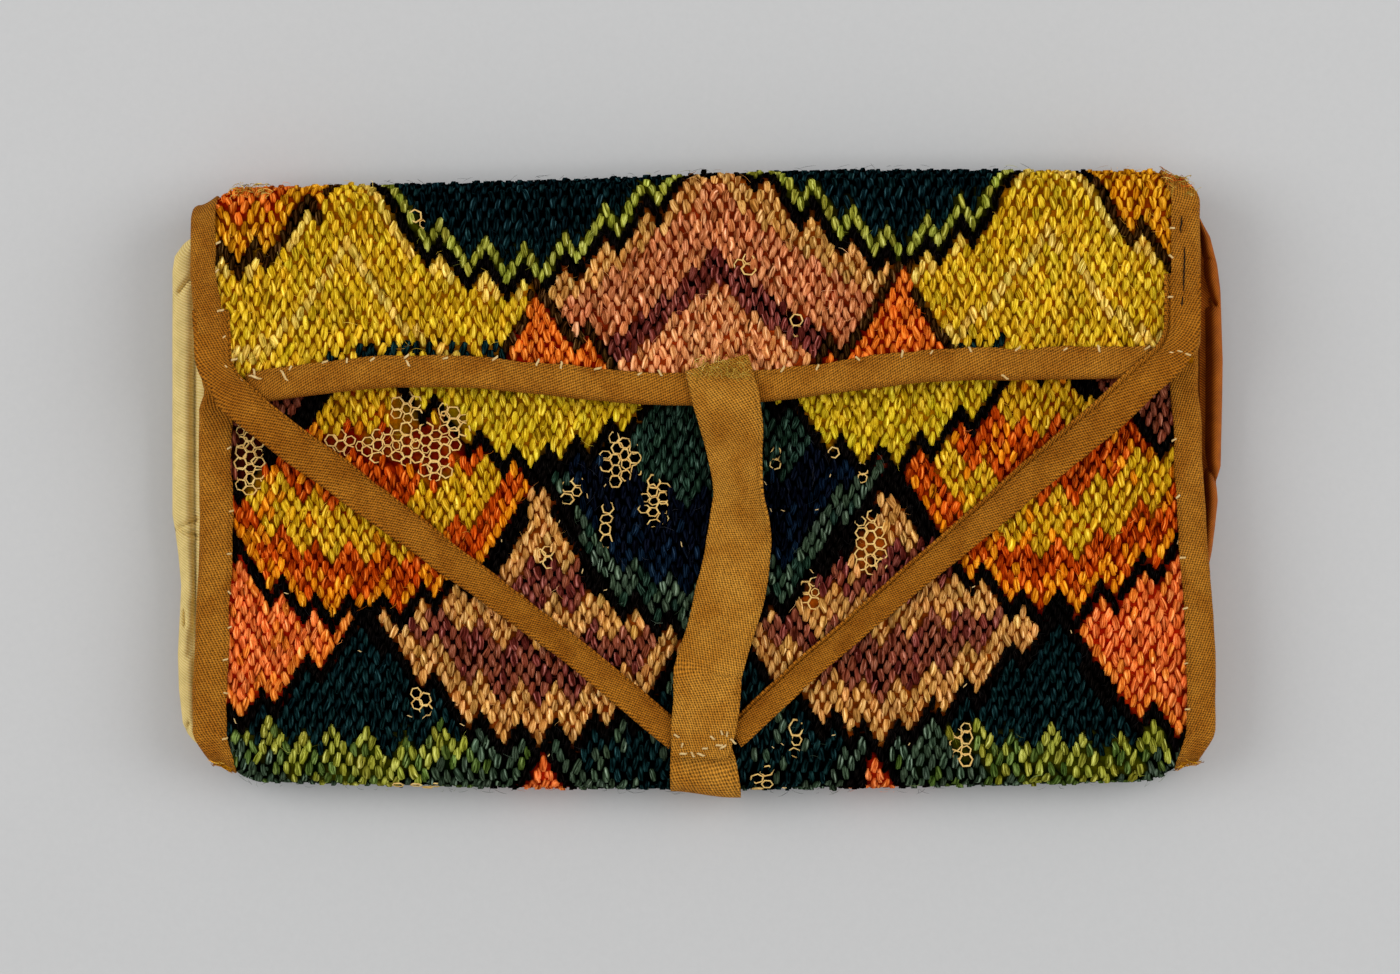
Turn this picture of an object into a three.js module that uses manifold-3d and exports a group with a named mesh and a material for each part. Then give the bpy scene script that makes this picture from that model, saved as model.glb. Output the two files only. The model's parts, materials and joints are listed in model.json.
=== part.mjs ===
// A needlework pocketbook, closed and lying on its back. One long strip of canvaswork is folded
// into a pocket with a flap, lined, bound with tape round its edges and closed at its sides by
// silk gussets. A bridle of tapes runs from the flap to the middle of the lower edge.
// Millimetres. X runs across, Y from the bottom fold to the top fold, Z up out of the front.

import * as THREE from "three";
import { mergeVertices } from "three/addons/utils/BufferGeometryUtils.js";
import Module from "manifold-3d";

const wasm = await Module();
wasm.setup();

// The closed pocketbook
const stripWidth = 181;
const closedHeight = 111;
const pocketRoom = 5.5;
const crown = 1.6; // how far the stuffed front swells in the middle
const lean = 3.2; // how much taller the right end is than the left one
const mouthInset = 2; // the pocket's mouth stops this far short of the top fold
const flapDrop = 40;
const flapWave = 2; // the flap's lower edge waves up and down by this much
const flapWaveLength = 100;

// Layers
const canvasThick = 2.2;
const woolRaise = 0.4; // the wool fields stand this far above their dark outlines
const liningThick = 0.5;
const tapeThick = 0.6;
const silkThick = 0.5;
const sewn = 0.3; // the gap between layers that are sewn together

// Tapes
const bindWidth = 6; // the part of the binding seen on each face
const edgeTapeInset = 9; // the flap edge's tape ends this far from the strip's sides
const strapWidth = 6.3; // a tape folded in half along its length
const closingWidth = 12.7;
const tailWidth = 11.8;
const tailCentre = 1.5;
const tailStart = 7; // above the bottom fold's centre line
const tailReach = 30; // up the back from the bottom fold
const strapStartInset = 2.6;
const leftStrapRise = 1; // each strap starts this far above the flap's lower edge
const rightStrapRise = 9;
const strapEndSpread = 5.1; // each strap's end, either side of the tail's middle
const strapEndRise = 3.4; // above the bottom fold's centre line
const closingLap = 4.6; // the closing tape starts this far above the flap's lower edge
const closingEndDrop = 1.2; // below the bottom fold's centre line
const closingSway = 5.2; // the closing tape bows sideways by this much
const closingTwist = 0.34; // and twists by this angle at its waist, in radians

// Gussets
const gussetLap = 4; // sewn this far inside the strip's sides
const gussetBulge = 4.2;
const gussetShort = 2; // the gusset's top stops this far below the mouth
const leftPleats = [0.07, 0.55];
const rightPleats = [0.14, 0.3];
const pleatDepth = 0.3;
const pleatWidth = 0.035;

// Fish-scale pattern of the wool
const scaleWidth = 62.2;
const rowPitch = 23.3;
const scaleCentre = 3.2; // the middle scale stands this far right of centre
const firstTip = 20; // from the mouth to the first row of tips
const scaleCurve = 1.6;
const teethPerSide = 4;
const toothDepth = 2.8;
const outlineWidth = 3.2;
const wornDepth = 0.4; // how deep the moth-eaten spots go below the outlines

// Facets
const arcSteps = 6;
const waveSteps = 18;
const ribbonSteps = 18;
const gussetSteps = 18;

// Heights of the layers off the canvas's inner face: wool side up, pocket side down
const liningTop = -sewn;
const liningUnder = liningTop - liningThick;
const legInner = liningUnder - sewn;
const legUnder = legInner - tapeThick;
const legSeat = canvasThick + sewn;
const legOver = legSeat + tapeThick;
const woolTop = canvasThick + woolRaise;

// Levels and lines of the folded strip
const halfWidth = stripWidth / 2;
const bottomRadius = pocketRoom / 2 - liningUnder;
const backLevel = legOver;
const frontLevel = backLevel + 2 * bottomRadius;
const flapLevel = frontLevel + legOver + sewn - legUnder;
const topRadius = (flapLevel - backLevel) / 2;
const topEdge = closedHeight / 2;
const bottomLine = bottomRadius + woolTop - topEdge;
const topLine = topEdge - topRadius - woolTop;
const mouthLine = topLine - mouthInset;
const flapLine = topEdge - flapDrop;

// Lengths along the flat strip, from the mouth
const frontRun = mouthLine - bottomLine;
const bottomRun = Math.PI * bottomRadius;
const backStart = frontRun + bottomRun;
const topStart = backStart + topLine - bottomLine;
const flapStart = topStart + Math.PI * topRadius;
const stripLength = flapStart + topLine - flapLine + flapWave;

const wool = new THREE.MeshStandardMaterial({ color: 0x9a5a1c, roughness: 0.95 });
const lining = new THREE.MeshStandardMaterial({ color: 0xb9a06a, roughness: 0.7 });
const twill = new THREE.MeshStandardMaterial({ color: 0x9a6824, roughness: 0.9 });
const straw = new THREE.MeshStandardMaterial({ color: 0xc5aa68, roughness: 0.6 });
const rust = new THREE.MeshStandardMaterial({ color: 0x6e2f0f, roughness: 0.6 });

// The swell of the front and the flap at a line across the pocketbook
function swell(y) {
  const middle = (topLine + bottomLine) / 2;
  const t = (y - middle) / (topLine - middle);
  return crown * Math.max(0, 1 - t * t);
}

// The hand-sewn strip is not quite square: its right end is taller
function square(point) {
  const rise = lean * (point.x / stripWidth) * (point.y / closedHeight + 0.5);
  return point.setY(point.y + rise);
}

// A point of the flat strip (across, along, off the canvas) where folding puts it
const creases = [frontRun, backStart, topStart, flapStart];

function fold(point) {
  const { x, z: off } = point;
  const crease = creases.find((line) => Math.abs(line - point.y) < 1e-3);
  const along = crease ?? point.y;
  if (along < frontRun) {
    const y = mouthLine - along;
    return point.set(x, y, frontLevel + swell(y) + off);
  }
  if (along < backStart) {
    const turn = (along - frontRun) / bottomRadius;
    const reach = bottomRadius + off;
    const middle = backLevel + bottomRadius;
    return point.set(x, bottomLine - reach * Math.sin(turn), middle + reach * Math.cos(turn));
  }
  if (along < topStart) {
    return point.set(x, bottomLine + along - backStart, backLevel - off);
  }
  if (along < flapStart) {
    const turn = (along - topStart) / topRadius;
    const reach = topRadius + off;
    const middle = backLevel + topRadius;
    return point.set(x, topLine + reach * Math.sin(turn), middle - reach * Math.cos(turn));
  }
  const y = topLine - (along - flapStart);
  return point.set(x, y, flapLevel + swell(y) + off);
}

const frontParts = 4;
const flapParts = 2;
const evenly = (from, to, parts) => {
  return Array.from({ length: parts + 1 }, (_, i) => from + ((to - from) * i) / parts);
};

// The strip is folded in lengths: the swelling front and flap in several, each fold in one
const lengths = [
  ...evenly(-flapWave, frontRun, frontParts).slice(0, -1),
  frontRun,
  backStart,
  topStart,
  ...evenly(flapStart, stripLength + flapWave, flapParts),
];

// The lines round a fold where it has to bend
const bends = [
  ...evenly(frontRun, backStart, arcSteps),
  ...evenly(topStart, flapStart, arcSteps),
];

function solidOf(geometry) {
  const bare = new THREE.BufferGeometry();
  bare.setAttribute("position", geometry.getAttribute("position"));
  bare.setIndex(geometry.getIndex());
  const merged = mergeVertices(bare, 1e-4);
  return new wasm.Manifold(new wasm.Mesh({
    numProp: 3,
    vertProperties: new Float32Array(merged.getAttribute("position").array),
    triVerts: new Uint32Array(merged.getIndex().array),
  }));
}

function geometryOf(solid) {
  const { vertProperties, triVerts } = solid.getMesh();
  const geometry = new THREE.BufferGeometry();
  geometry.setAttribute("position", new THREE.BufferAttribute(vertProperties, 3));
  geometry.setIndex(new THREE.BufferAttribute(triVerts, 1));
  return geometry;
}

function reshape(geometry, move) {
  const places = geometry.getAttribute("position");
  const point = new THREE.Vector3();
  for (let i = 0; i < places.count; i += 1) {
    move(point.fromBufferAttribute(places, i));
    places.setXYZ(i, point.x, point.y, point.z);
  }
  return geometry;
}

// Cut every triangle of a flat piece at the lines where it has to bend
function scored(geometry, lines) {
  const source = geometry.getAttribute("position");
  const index = geometry.getIndex().array;
  const points = [];
  for (let i = 0; i < source.count; i += 1) {
    points.push(new THREE.Vector3().fromBufferAttribute(source, i));
  }
  let faces = [];
  for (let i = 0; i < index.length; i += 3) faces.push([index[i], index[i + 1], index[i + 2]]);
  for (const line of lines) {
    for (const point of points) {
      if (Math.abs(point.y - line) < 1e-3) point.y = line;
    }
    const cuts = new Map();
    const cut = (a, b) => {
      const key = a < b ? `${a} ${b}` : `${b} ${a}`;
      if (!cuts.has(key)) {
        const t = (line - points[a].y) / (points[b].y - points[a].y);
        cuts.set(key, points.push(points[a].clone().lerp(points[b], t).setY(line)) - 1);
      }
      return cuts.get(key);
    };
    const side = (i) => Math.sign(points[i].y - line);
    faces = faces.flatMap((face) => {
      const crossing = face.some((i) => side(i) > 0) && face.some((i) => side(i) < 0);
      if (!crossing) return [face];
      const lone = [0, 1, 2].find((k) => {
        const others = side(face[(k + 1) % 3]) + side(face[(k + 2) % 3]);
        return side(face[k]) === 0 || side(face[k]) * others === -2;
      });
      const [a, b, c] = [0, 1, 2].map((k) => face[(lone + k) % 3]);
      if (side(a) === 0) {
        const m = cut(b, c);
        return [[a, b, m], [a, m, c]];
      }
      const m = cut(a, b);
      const n = cut(a, c);
      return [[a, m, n], [m, b, c], [m, c, n]];
    });
  }
  const made = new THREE.BufferGeometry();
  const flat = points.flatMap((point) => point.toArray());
  made.setAttribute("position", new THREE.Float32BufferAttribute(flat, 3));
  // The strip is laid out from the mouth downwards, so folding mirrors it: turn the faces over
  made.setIndex(faces.flatMap(([a, b, c]) => [a, c, b]));
  return made;
}

// A flat piece folded with the strip, length by length, and joined again
function folded(solid) {
  const parts = [];
  for (let i = 1; i < lengths.length; i += 1) {
    const [from, to] = [lengths[i - 1], lengths[i]];
    const part = solid.intersect(slab(oblong(-stripWidth, from, stripWidth, to), -9, 9));
    const inside = bends.filter((line) => line > from && line < to);
    if (!part.isEmpty()) parts.push(solidOf(reshape(scored(geometryOf(part), inside), fold)));
  }
  return reshape(geometryOf(wasm.Manifold.union(parts)), square);
}

function slab(shape, under, over) {
  const options = { depth: over - under, bevelEnabled: false, curveSegments: 5 };
  return solidOf(new THREE.ExtrudeGeometry(shape, options).translate(0, 0, under));
}

function oblong(x0, y0, x1, y1) {
  const shape = new THREE.Shape();
  shape.moveTo(x0, y0);
  shape.lineTo(x1, y0);
  shape.lineTo(x1, y1);
  shape.lineTo(x0, y1);
  return shape;
}

// The flap's lower edge, as a length along the strip
function flapEdge(x) {
  const wave = flapWave * Math.cos((2 * Math.PI * x) / flapWaveLength);
  return flapStart + topLine - flapLine + wave;
}

// A part of the strip that ends on the flap's waving edge, or past it, and starts straight across
function toEdge(half, start, overEdge) {
  const points = [new THREE.Vector2(-half, start), new THREE.Vector2(half, start)];
  for (let i = 0; i <= waveSteps; i += 1) {
    const x = half - (2 * half * i) / waveSteps;
    points.push(new THREE.Vector2(x, flapEdge(x) + overEdge));
  }
  return new THREE.Shape(points);
}

// A band that follows the waving edge, from under it to over it
function alongEdge(half, underEdge, overEdge) {
  const under = [];
  const over = [];
  for (let i = 0; i <= waveSteps; i += 1) {
    const x = half - (2 * half * i) / waveSteps;
    over.push(new THREE.Vector2(x, flapEdge(x) + overEdge));
    under.unshift(new THREE.Vector2(x, flapEdge(x) - underEdge));
  }
  return new THREE.Shape([...under, ...over]);
}

// A tape folded over an edge: its outer block less the room for the edge inside it
function channel(outer, inner) {
  return slab(outer, legUnder, legOver).subtract(slab(inner, legInner, legSeat));
}

// One wool field between the zigzag outlines, its rounded tip pointing along the strip
function scaleField(centre, tip) {
  const points = [];
  const ticks = 2 * teethPerSide;
  const drop = (t) => rowPitch * Math.abs(t) ** scaleCurve;
  const sides = { lower: [], upper: [] };
  for (let k = 1 - ticks; k < ticks; k += 1) {
    const t = k / ticks;
    const tooth = k % 2 === 0 ? 0 : toothDepth;
    const lower = tip - drop(t) - tooth - outlineWidth / 2;
    const upper = tip - rowPitch - drop(1 - Math.abs(t)) - tooth + outlineWidth / 2;
    if (lower - upper > 1) {
      const x = centre + (t * scaleWidth) / 2;
      sides.lower.push(new THREE.Vector2(x, lower));
      sides.upper.unshift(new THREE.Vector2(x, upper));
    }
  }
  points.push(...sides.lower, ...sides.upper);
  return new THREE.Shape(points);
}

// The raised fields of the whole strip, kept clear of the bindings and pressed flat under the tail
function woolFields() {
  const inset = bindWidth + sewn;
  const under = canvasThick / 2;
  const fields = [];
  const across = Math.ceil(stripWidth / scaleWidth);
  for (let row = 0; firstTip + (row - 2) * rowPitch < stripLength; row += 1) {
    const shift = row % 2 === 0 ? 0 : scaleWidth / 2;
    for (let column = -across; column <= across; column += 1) {
      const centre = scaleCentre + shift + column * scaleWidth;
      if (Math.abs(centre) - scaleWidth / 2 < halfWidth - inset - 1) {
        fields.push(slab(scaleField(centre, firstTip + row * rowPitch), under, woolTop));
      }
    }
  }
  const worked = slab(toEdge(halfWidth - inset, inset, -inset), 0, woolTop + 1);
  const half = tailWidth / 2 + sewn;
  const bedStart = frontRun - tailStart - sewn;
  const bedEnd = backStart + tailReach + sewn;
  const bed = oblong(tailCentre - half, bedStart, tailCentre + half, bedEnd);
  return wasm.Manifold.union(fields).intersect(worked).subtract(slab(bed, 0, woolTop + 1));
}

// Spots on the front where moths have eaten the wool down to the canvas: x, y, half sizes
const wornSpots = [
  [-54, 7, 12, 7],
  [-81, 8, 3, 8],
  [-13.5, 3.5, 3.2, 4.7],
  [-7.6, -3.4, 3, 3.4],
  [32, -11.5, 2.6, 5.2],
  [48, -46, 2.4, 4.2],
];

function canvaswork() {
  const strip = slab(toEdge(halfWidth, 0, 0), 0, canvasThick);
  let worked = strip.add(woolFields());
  for (const [x, y, rx, ry] of wornSpots) {
    const shape = new THREE.Shape().absellipse(x, mouthLine - y, rx, ry, 0, 2 * Math.PI);
    worked = worked.subtract(slab(shape, canvasThick - wornDepth, woolTop + 1));
  }
  return folded(worked);
}

// A flat ribbon laid along a path: place(t) gives the middle of its underside and its twist
function ribbon(width, thick, place) {
  const up = new THREE.Vector3(0, 0, 1);
  const geometry = new THREE.BoxGeometry(width, 1, thick, 1, ribbonSteps, 1);
  reshape(geometry, (point) => {
    const { x, y, z } = point;
    const t = y + 0.5;
    const here = place(t);
    const ahead = place(Math.min(1, t + 0.01)).spot.sub(place(Math.max(0, t - 0.01)).spot);
    const across = ahead.clone().cross(up).normalize();
    const normal = across.clone().cross(ahead).normalize();
    across.applyAxisAngle(ahead.normalize(), here.twist);
    normal.applyAxisAngle(ahead, here.twist);
    point.copy(here.spot).addScaledVector(across, x).addScaledVector(normal, z + thick / 2);
  });
  return reshape(geometry, square);
}

const onFlap = (y) => flapLevel + swell(y) + legOver;
const onFront = (y) => frontLevel + swell(y) + woolTop;
const onTail = (y) => frontLevel + swell(y) + legOver;
const strapThick = 2 * tapeThick;
const clearOfFlap = flapLine - flapWave - sewn - tapeThick;
const ease = THREE.MathUtils.smoothstep;

// Half of the bridle: the side binding's tape goes on, folded in half, to the lower edge's middle
function strap(side, startRise) {
  const start = new THREE.Vector2(side * (halfWidth - strapStartInset), flapLine + startRise);
  const end = new THREE.Vector2(tailCentre + side * strapEndSpread, bottomLine + strapEndRise);
  const leave = clearOfFlap - strapWidth / 2;
  return ribbon(strapWidth, strapThick, (t) => {
    const { x, y } = start.clone().lerp(end, t);
    const sunk = tapeThick / 2 + sewn;
    const high = onFlap(y) + sewn - sunk * (1 - ease(t, 0, 0.045));
    const low = onFront(y) + sewn + (onTail(y) - onFront(y)) * ease(t, 0.75, 0.88);
    const down = ease(leave - y, 0, (leave - end.y) * 0.55);
    return { spot: new THREE.Vector3(x, y, high + (low - high) * down), twist: 0 };
  });
}

// A side's whole tape: it binds the strip's edge from the mouth to the flap's corner
function sideTape(side, startRise) {
  const outside = side * (halfWidth + sewn + tapeThick);
  const inside = side * (halfWidth - bindWidth);
  const end = flapEdge(halfWidth);
  const outer = oblong(Math.min(outside, inside), 0, Math.max(outside, inside), end);
  const seat = side * (halfWidth + sewn);
  const past = inside - side;
  const inner = oblong(Math.min(seat, past), -1, Math.max(seat, past), end + 1);
  const binding = solidOf(folded(channel(outer, inner)));
  return geometryOf(binding.add(solidOf(strap(side, startRise))));
}

function mouthTape() {
  const half = halfWidth - bindWidth - sewn;
  const outer = oblong(-half, -sewn - tapeThick, half, bindWidth);
  const inner = oblong(-half - 1, -sewn, half + 1, bindWidth + 1);
  return folded(channel(outer, inner));
}

function flapEdgeTape() {
  const half = halfWidth - edgeTapeInset;
  const outer = alongEdge(half, bindWidth, sewn + tapeThick);
  const inner = alongEdge(half + 1, bindWidth + 1, sewn);
  return folded(channel(outer, inner));
}

// The wide tape sewn to the middle of the flap's edge, hanging in a soft wave to the lower edge
function closingTape() {
  const top = flapLine + closingLap;
  const foot = bottomLine - closingEndDrop;
  const strapsTop = bottomLine + strapEndRise + strapWidth;
  const reach = closingWidth / 2;
  return ribbon(closingWidth, tapeThick, (t) => {
    const y = top + (foot - top) * t;
    const x = tailCentre + 2 + closingSway * Math.sin(Math.PI * Math.min(1, 1.35 * t)) - 2 * t;
    const twist = closingTwist * Math.exp(-(((t - 0.36) / 0.1) ** 2));
    const rest = onFront(y) + sewn + reach * Math.sin(twist);
    const stack = onTail(y) + 2 * sewn + strapThick;
    const low = rest + (stack - rest) * ease(strapsTop + 12 - y, 0, 12);
    const high = onFlap(y) + sewn;
    const down = ease(clearOfFlap - y, 0, 11);
    return { spot: new THREE.Vector3(x, y, high + (low - high) * down), twist };
  });
}

// The short tape that the bridle is sewn to, passing round the bottom fold on to the back
function tailTape() {
  const half = tailWidth / 2;
  const end = backStart + tailReach;
  const shape = oblong(tailCentre - half, frontRun - tailStart, tailCentre + half, end);
  return folded(slab(shape, legSeat, legOver));
}

// A silk gusset: a thin wall that bulges out between the bound edges, pinched by pleats
function gusset(side, pleats) {
  const neck = sewn + tapeThick;
  const half = bottomRadius + legUnder - sewn;
  const shape = new THREE.Shape();
  const s = side;
  const quarter = Math.PI / 2;
  shape.moveTo(-s * gussetLap, half);
  shape.lineTo(s * neck, half);
  shape.absellipse(s * neck, 0, gussetBulge, half, quarter, quarter + s * -Math.PI, s > 0);
  shape.lineTo(-s * gussetLap, -half);
  shape.lineTo(-s * gussetLap, silkThick - half);
  shape.lineTo(s * neck, silkThick - half);
  const inside = half - silkThick;
  const hollow = gussetBulge - silkThick;
  shape.absellipse(s * neck, 0, hollow, inside, -quarter, -quarter + s * Math.PI, s < 0);
  shape.lineTo(-s * gussetLap, inside);
  const long = frontRun - gussetShort;
  const options = { depth: long, steps: gussetSteps, bevelEnabled: false, curveSegments: 3 };
  const wall = mergeVertices(bare(new THREE.ExtrudeGeometry(shape, options)));
  reshape(wall.rotateX(quarter), (point) => {
    const t = -point.y / long;
    const pinch = pleats.map((p) => pleatDepth * Math.exp(-(((t - p) / pleatWidth) ** 2)));
    const puff = 0.35 + 0.65 * Math.sqrt(Math.sin(Math.PI * Math.min(1, Math.max(0, t))));
    const out = Math.max(0, s * point.x - neck) * (puff - Math.max(...pinch) * puff);
    const y = mouthLine - gussetShort + point.y;
    const lift = swell(y) * Math.max(0, point.z / half);
    const x = s * (halfWidth + Math.min(s * point.x, neck) + out);
    point.set(x, y, backLevel + bottomRadius + point.z + lift);
  });
  return reshape(wall, square);
}

function bare(geometry) {
  geometry.deleteAttribute("normal");
  geometry.deleteAttribute("uv");
  return geometry;
}

function liningSheet() {
  return folded(slab(toEdge(halfWidth, 0, 0), liningUnder, liningTop));
}

const pocketbook = new THREE.Group();

function addPiece(name, geometry, material) {
  const mesh = new THREE.Mesh(geometry, material.clone());
  mesh.name = name;
  pocketbook.add(mesh);
}

addPiece("canvaswork", canvaswork(), wool);
addPiece("lining", liningSheet(), lining);
addPiece("left_side_tape", sideTape(-1, leftStrapRise), twill);
addPiece("right_side_tape", sideTape(1, rightStrapRise), twill);
addPiece("flap_edge_tape", flapEdgeTape(), twill);
addPiece("mouth_tape", mouthTape(), twill);
addPiece("closing_tape", closingTape(), twill);
addPiece("tail_tape", tailTape(), twill);
addPiece("left_gusset", gusset(-1, leftPleats), straw);
addPiece("right_gusset", gusset(1, rightPleats), rust);

// The origin sits under the middle of the pocketbook, on the surface that it lies on
const box = new THREE.Box3().setFromObject(pocketbook);
const middle = box.getCenter(new THREE.Vector3());
pocketbook.position.set(-middle.x, -middle.y, -box.min.z);

export default pocketbook;
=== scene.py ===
# %% [markdown]
# # A needlework pocketbook
# A pocketbook of this kind is one long strip of canvas, worked all over in upright wool stitches,
# lined, and folded into a pocket with a flap. Brown tape binds its edges, silk gussets close its
# sides, and a bridle of tapes ties it shut. The frame already holds each piece as a plain solid
# at its real size. This lesson dresses every one of them as the cloth, wool and thread it is.

# %% Load the frame
import json
import math

import bmesh
import bpy
import numpy as np
from mathutils import Matrix, Quaternion, Vector, noise

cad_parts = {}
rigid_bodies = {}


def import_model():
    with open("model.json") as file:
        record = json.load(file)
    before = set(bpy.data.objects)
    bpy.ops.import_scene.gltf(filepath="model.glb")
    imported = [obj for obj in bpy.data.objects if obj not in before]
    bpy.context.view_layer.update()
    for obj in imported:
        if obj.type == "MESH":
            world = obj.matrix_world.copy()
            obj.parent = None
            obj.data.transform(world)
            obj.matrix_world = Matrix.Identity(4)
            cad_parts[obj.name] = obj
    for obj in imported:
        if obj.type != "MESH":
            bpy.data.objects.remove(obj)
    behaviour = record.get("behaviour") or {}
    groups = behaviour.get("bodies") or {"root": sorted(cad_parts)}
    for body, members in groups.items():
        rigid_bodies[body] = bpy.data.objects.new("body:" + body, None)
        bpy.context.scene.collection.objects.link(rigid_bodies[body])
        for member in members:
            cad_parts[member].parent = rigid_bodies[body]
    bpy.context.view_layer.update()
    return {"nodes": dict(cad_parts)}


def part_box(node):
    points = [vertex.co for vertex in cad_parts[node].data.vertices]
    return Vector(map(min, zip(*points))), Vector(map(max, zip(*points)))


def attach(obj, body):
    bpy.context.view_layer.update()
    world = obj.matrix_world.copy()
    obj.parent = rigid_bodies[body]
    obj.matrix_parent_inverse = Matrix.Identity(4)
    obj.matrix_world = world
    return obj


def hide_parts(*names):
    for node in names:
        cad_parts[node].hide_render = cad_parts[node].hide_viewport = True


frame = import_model()
MM = 0.001
UP = Vector((0, 0, 1))
print("solids in the frame:", sorted(frame["nodes"]))

# %% [markdown]
# ## The folded strip
# On the real object all the needlework is done on the flat strip, and the folding comes last. The
# same order works here: a piece is laid out flat, as across, along and off the canvas, and one
# function folds it. Sizes are millimetres until `at` puts them in the frame, which is in metres.

# %% Sizes of the strip and its layers
strip_width = 181
closed_height = 111
pocket_room = 5.5
crown = 1.6
lump_size = 0.8
lean = 3.2
mouth_inset = 2
flap_drop = 40
flap_wave = 2
flap_wave_length = 100
flap_trim = 1
flap_round_left = 5
flap_round_right = 1.5
canvas_thick = 2.2
wool_raise = 0.4
lining_thick = 0.5
tape_thick = 0.6
sewn = 0.3
bind_width = 6
corner_drawn = 3.0
side_bulge = 2.6
side_tuck = 0.7
top_hump = 1.2
bottom_sag = 1.7

lining_middle = -sewn - lining_thick / 2
leg_under = -2 * sewn - lining_thick - tape_thick
leg_over = canvas_thick + sewn + tape_thick
wool_top = canvas_thick + wool_raise
half_width = strip_width / 2
bottom_radius = pocket_room / 2 + sewn + lining_thick
back_level = leg_over
front_level = back_level + 2 * bottom_radius
flap_level = front_level + leg_over + sewn - leg_under
top_radius = (flap_level - back_level) / 2
bottom_line = bottom_radius + wool_top - closed_height / 2
top_line = closed_height / 2 - top_radius - wool_top
mouth_line = top_line - mouth_inset
flap_line = closed_height / 2 - flap_drop
middle_line = (top_line + bottom_line) / 2
front_run = mouth_line - bottom_line
back_start = front_run + math.pi * bottom_radius
top_start = back_start + top_line - bottom_line
flap_start = top_start + math.pi * top_radius
top_middle = (top_start + flap_start) / 2
strip_length = flap_start + top_line - flap_line + flap_wave
strip_flat = (strip_width, strip_length)
shift_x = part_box("left_side_tape")[0][0] / MM + half_width + sewn + tape_thick
shift_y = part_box("tail_tape")[0][1] / MM - (bottom_line - bottom_radius - leg_over)
print(f"strip {strip_width} x {strip_length:.1f} mm, shifted {shift_x:.3f}, {shift_y:.3f}")

# %% Fold a point of the flat strip


def ease(value, low, high):
    """From 0 at low to 1 at high, with soft ends."""
    t = min(1.0, max(0.0, (value - low) / (high - low)))
    return t * t * (3 - 2 * t)


def hump(value, centre, width):
    """A bell of height 1 that falls away on both sides of its centre."""
    return math.exp(-(((value - centre) / width) ** 2))


def swell(x, y):
    """How far the soft pocket lifts its front and flap at a place seen from above."""
    t = (y - middle_line) / (top_line - middle_line)
    lumps = noise.noise((x / 31, y / 24, 0.7)) + 0.4 * noise.noise((x / 13, y / 12, 5.1))
    return max(0.0, 1 - t * t) * (crown + lump_size * lumps)


def pinch(x, start, amount):
    """How much of a fold's reach is left towards the corners, which are bound in tight."""
    return 1 - amount * ease(abs(x), start, half_width)


left_drawn_at = [-38, -12, 14, 17, 19, 23, 30, 38, 48]
left_drawn_in = [0, 1.3, 1.3, 2.4, 1.8, 1.2, 0.75, 0.2, 0]


def corner_drift(x, y):
    """How far the bound corners are drawn in: both at the bottom, and the right one at the top."""
    bottom = math.copysign(ease(abs(x), 80, 92) * ease(-y, 45.5, 52), x)
    return -corner_drawn * (bottom + ease(x, 82, 92) * ease(y, 49, 55.5))


def drift(x, y):
    """The bag is not square: its lower right side bulges and its left side draws in."""
    bulge = side_bulge * ease(x, 60, 92) * ease(8 - y, 0, 46)
    tuck = side_tuck * ease(x, 60, 90) * ease(y, 8, 16)
    drawn = ease(-x, 70, 90) * np.interp(y, left_drawn_at, left_drawn_in)
    return bulge + drawn - tuck + corner_drift(x, y)


def leaning(x, y):
    """How far the bag's lean lifts a place: up on the right, most at the top."""
    return lean * (x / strip_width) * (y / closed_height + 0.5)


def at(x, y, z):
    """A place on the pocketbook in millimetres, as a point of the frame in metres."""
    rise = leaning(x, y) + top_hump * hump(x, 22, 42) * ease(y, 25, 50)
    rise -= bottom_sag * max(0.0, 1 - (x / 88) ** 2) * ease(-y, 30, 50)
    return Vector((x + drift(x, y) + shift_x, y + rise + shift_y, z)) * MM


def fold(x, along, off):
    """A point of the flat strip: across, along from the mouth, and off the canvas's inside."""
    if along < front_run:
        y = mouth_line - along
        return at(x, y, front_level + swell(x, y) + off)
    if along < back_start:
        turn = (along - front_run) / bottom_radius
        reach = bottom_radius + off
        y = bottom_line - reach * math.sin(turn) * pinch(x, 79, 0.66)
        return at(x, y, back_level + bottom_radius + reach * math.cos(turn))
    if along < top_start:
        return at(x, bottom_line + along - back_start, back_level - off)
    if along < flap_start:
        turn = (along - top_start) / top_radius
        reach = top_radius + off
        y = top_line + reach * math.sin(turn) * pinch(x, 83, 0.5 if x < 0 else 0.28)
        return at(x, y, back_level + top_radius - reach * math.cos(turn))
    y = top_line - (along - flap_start)
    return at(x, y, flap_level + swell(x, y) + off)


def along_flap(y):
    """How far along the strip a height on the flap lies."""
    return flap_start + top_line - y


def flap_edge(x):
    """The flap's waving lower edge, as a length along the strip. Its corners are rounded off."""
    wave = flap_wave * math.cos(2 * math.pi * min(x, 50) / flap_wave_length)
    corner = flap_round_left if x < 0 else flap_round_right
    return along_flap(flap_line) - flap_trim + wave - corner * ease(abs(x), 83, half_width + 1)


print("top fold reaches", [round(v / MM, 1) for v in fold(0, top_middle, wool_top)])

# %% [markdown]
# ## Helpers for pieces
# Cloth starts as a flat grid, because that is what cloth is. A `place` function then says where
# each point of the grid goes, and a map named weave keeps the flat millimetres, so that threads
# follow the cloth round its folds. Small things that repeat, such as stitches, are one template
# set on many points by a geometry node group, which also hands each copy its own wool colour.

# %% Cloth laid from a flat grid


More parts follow.
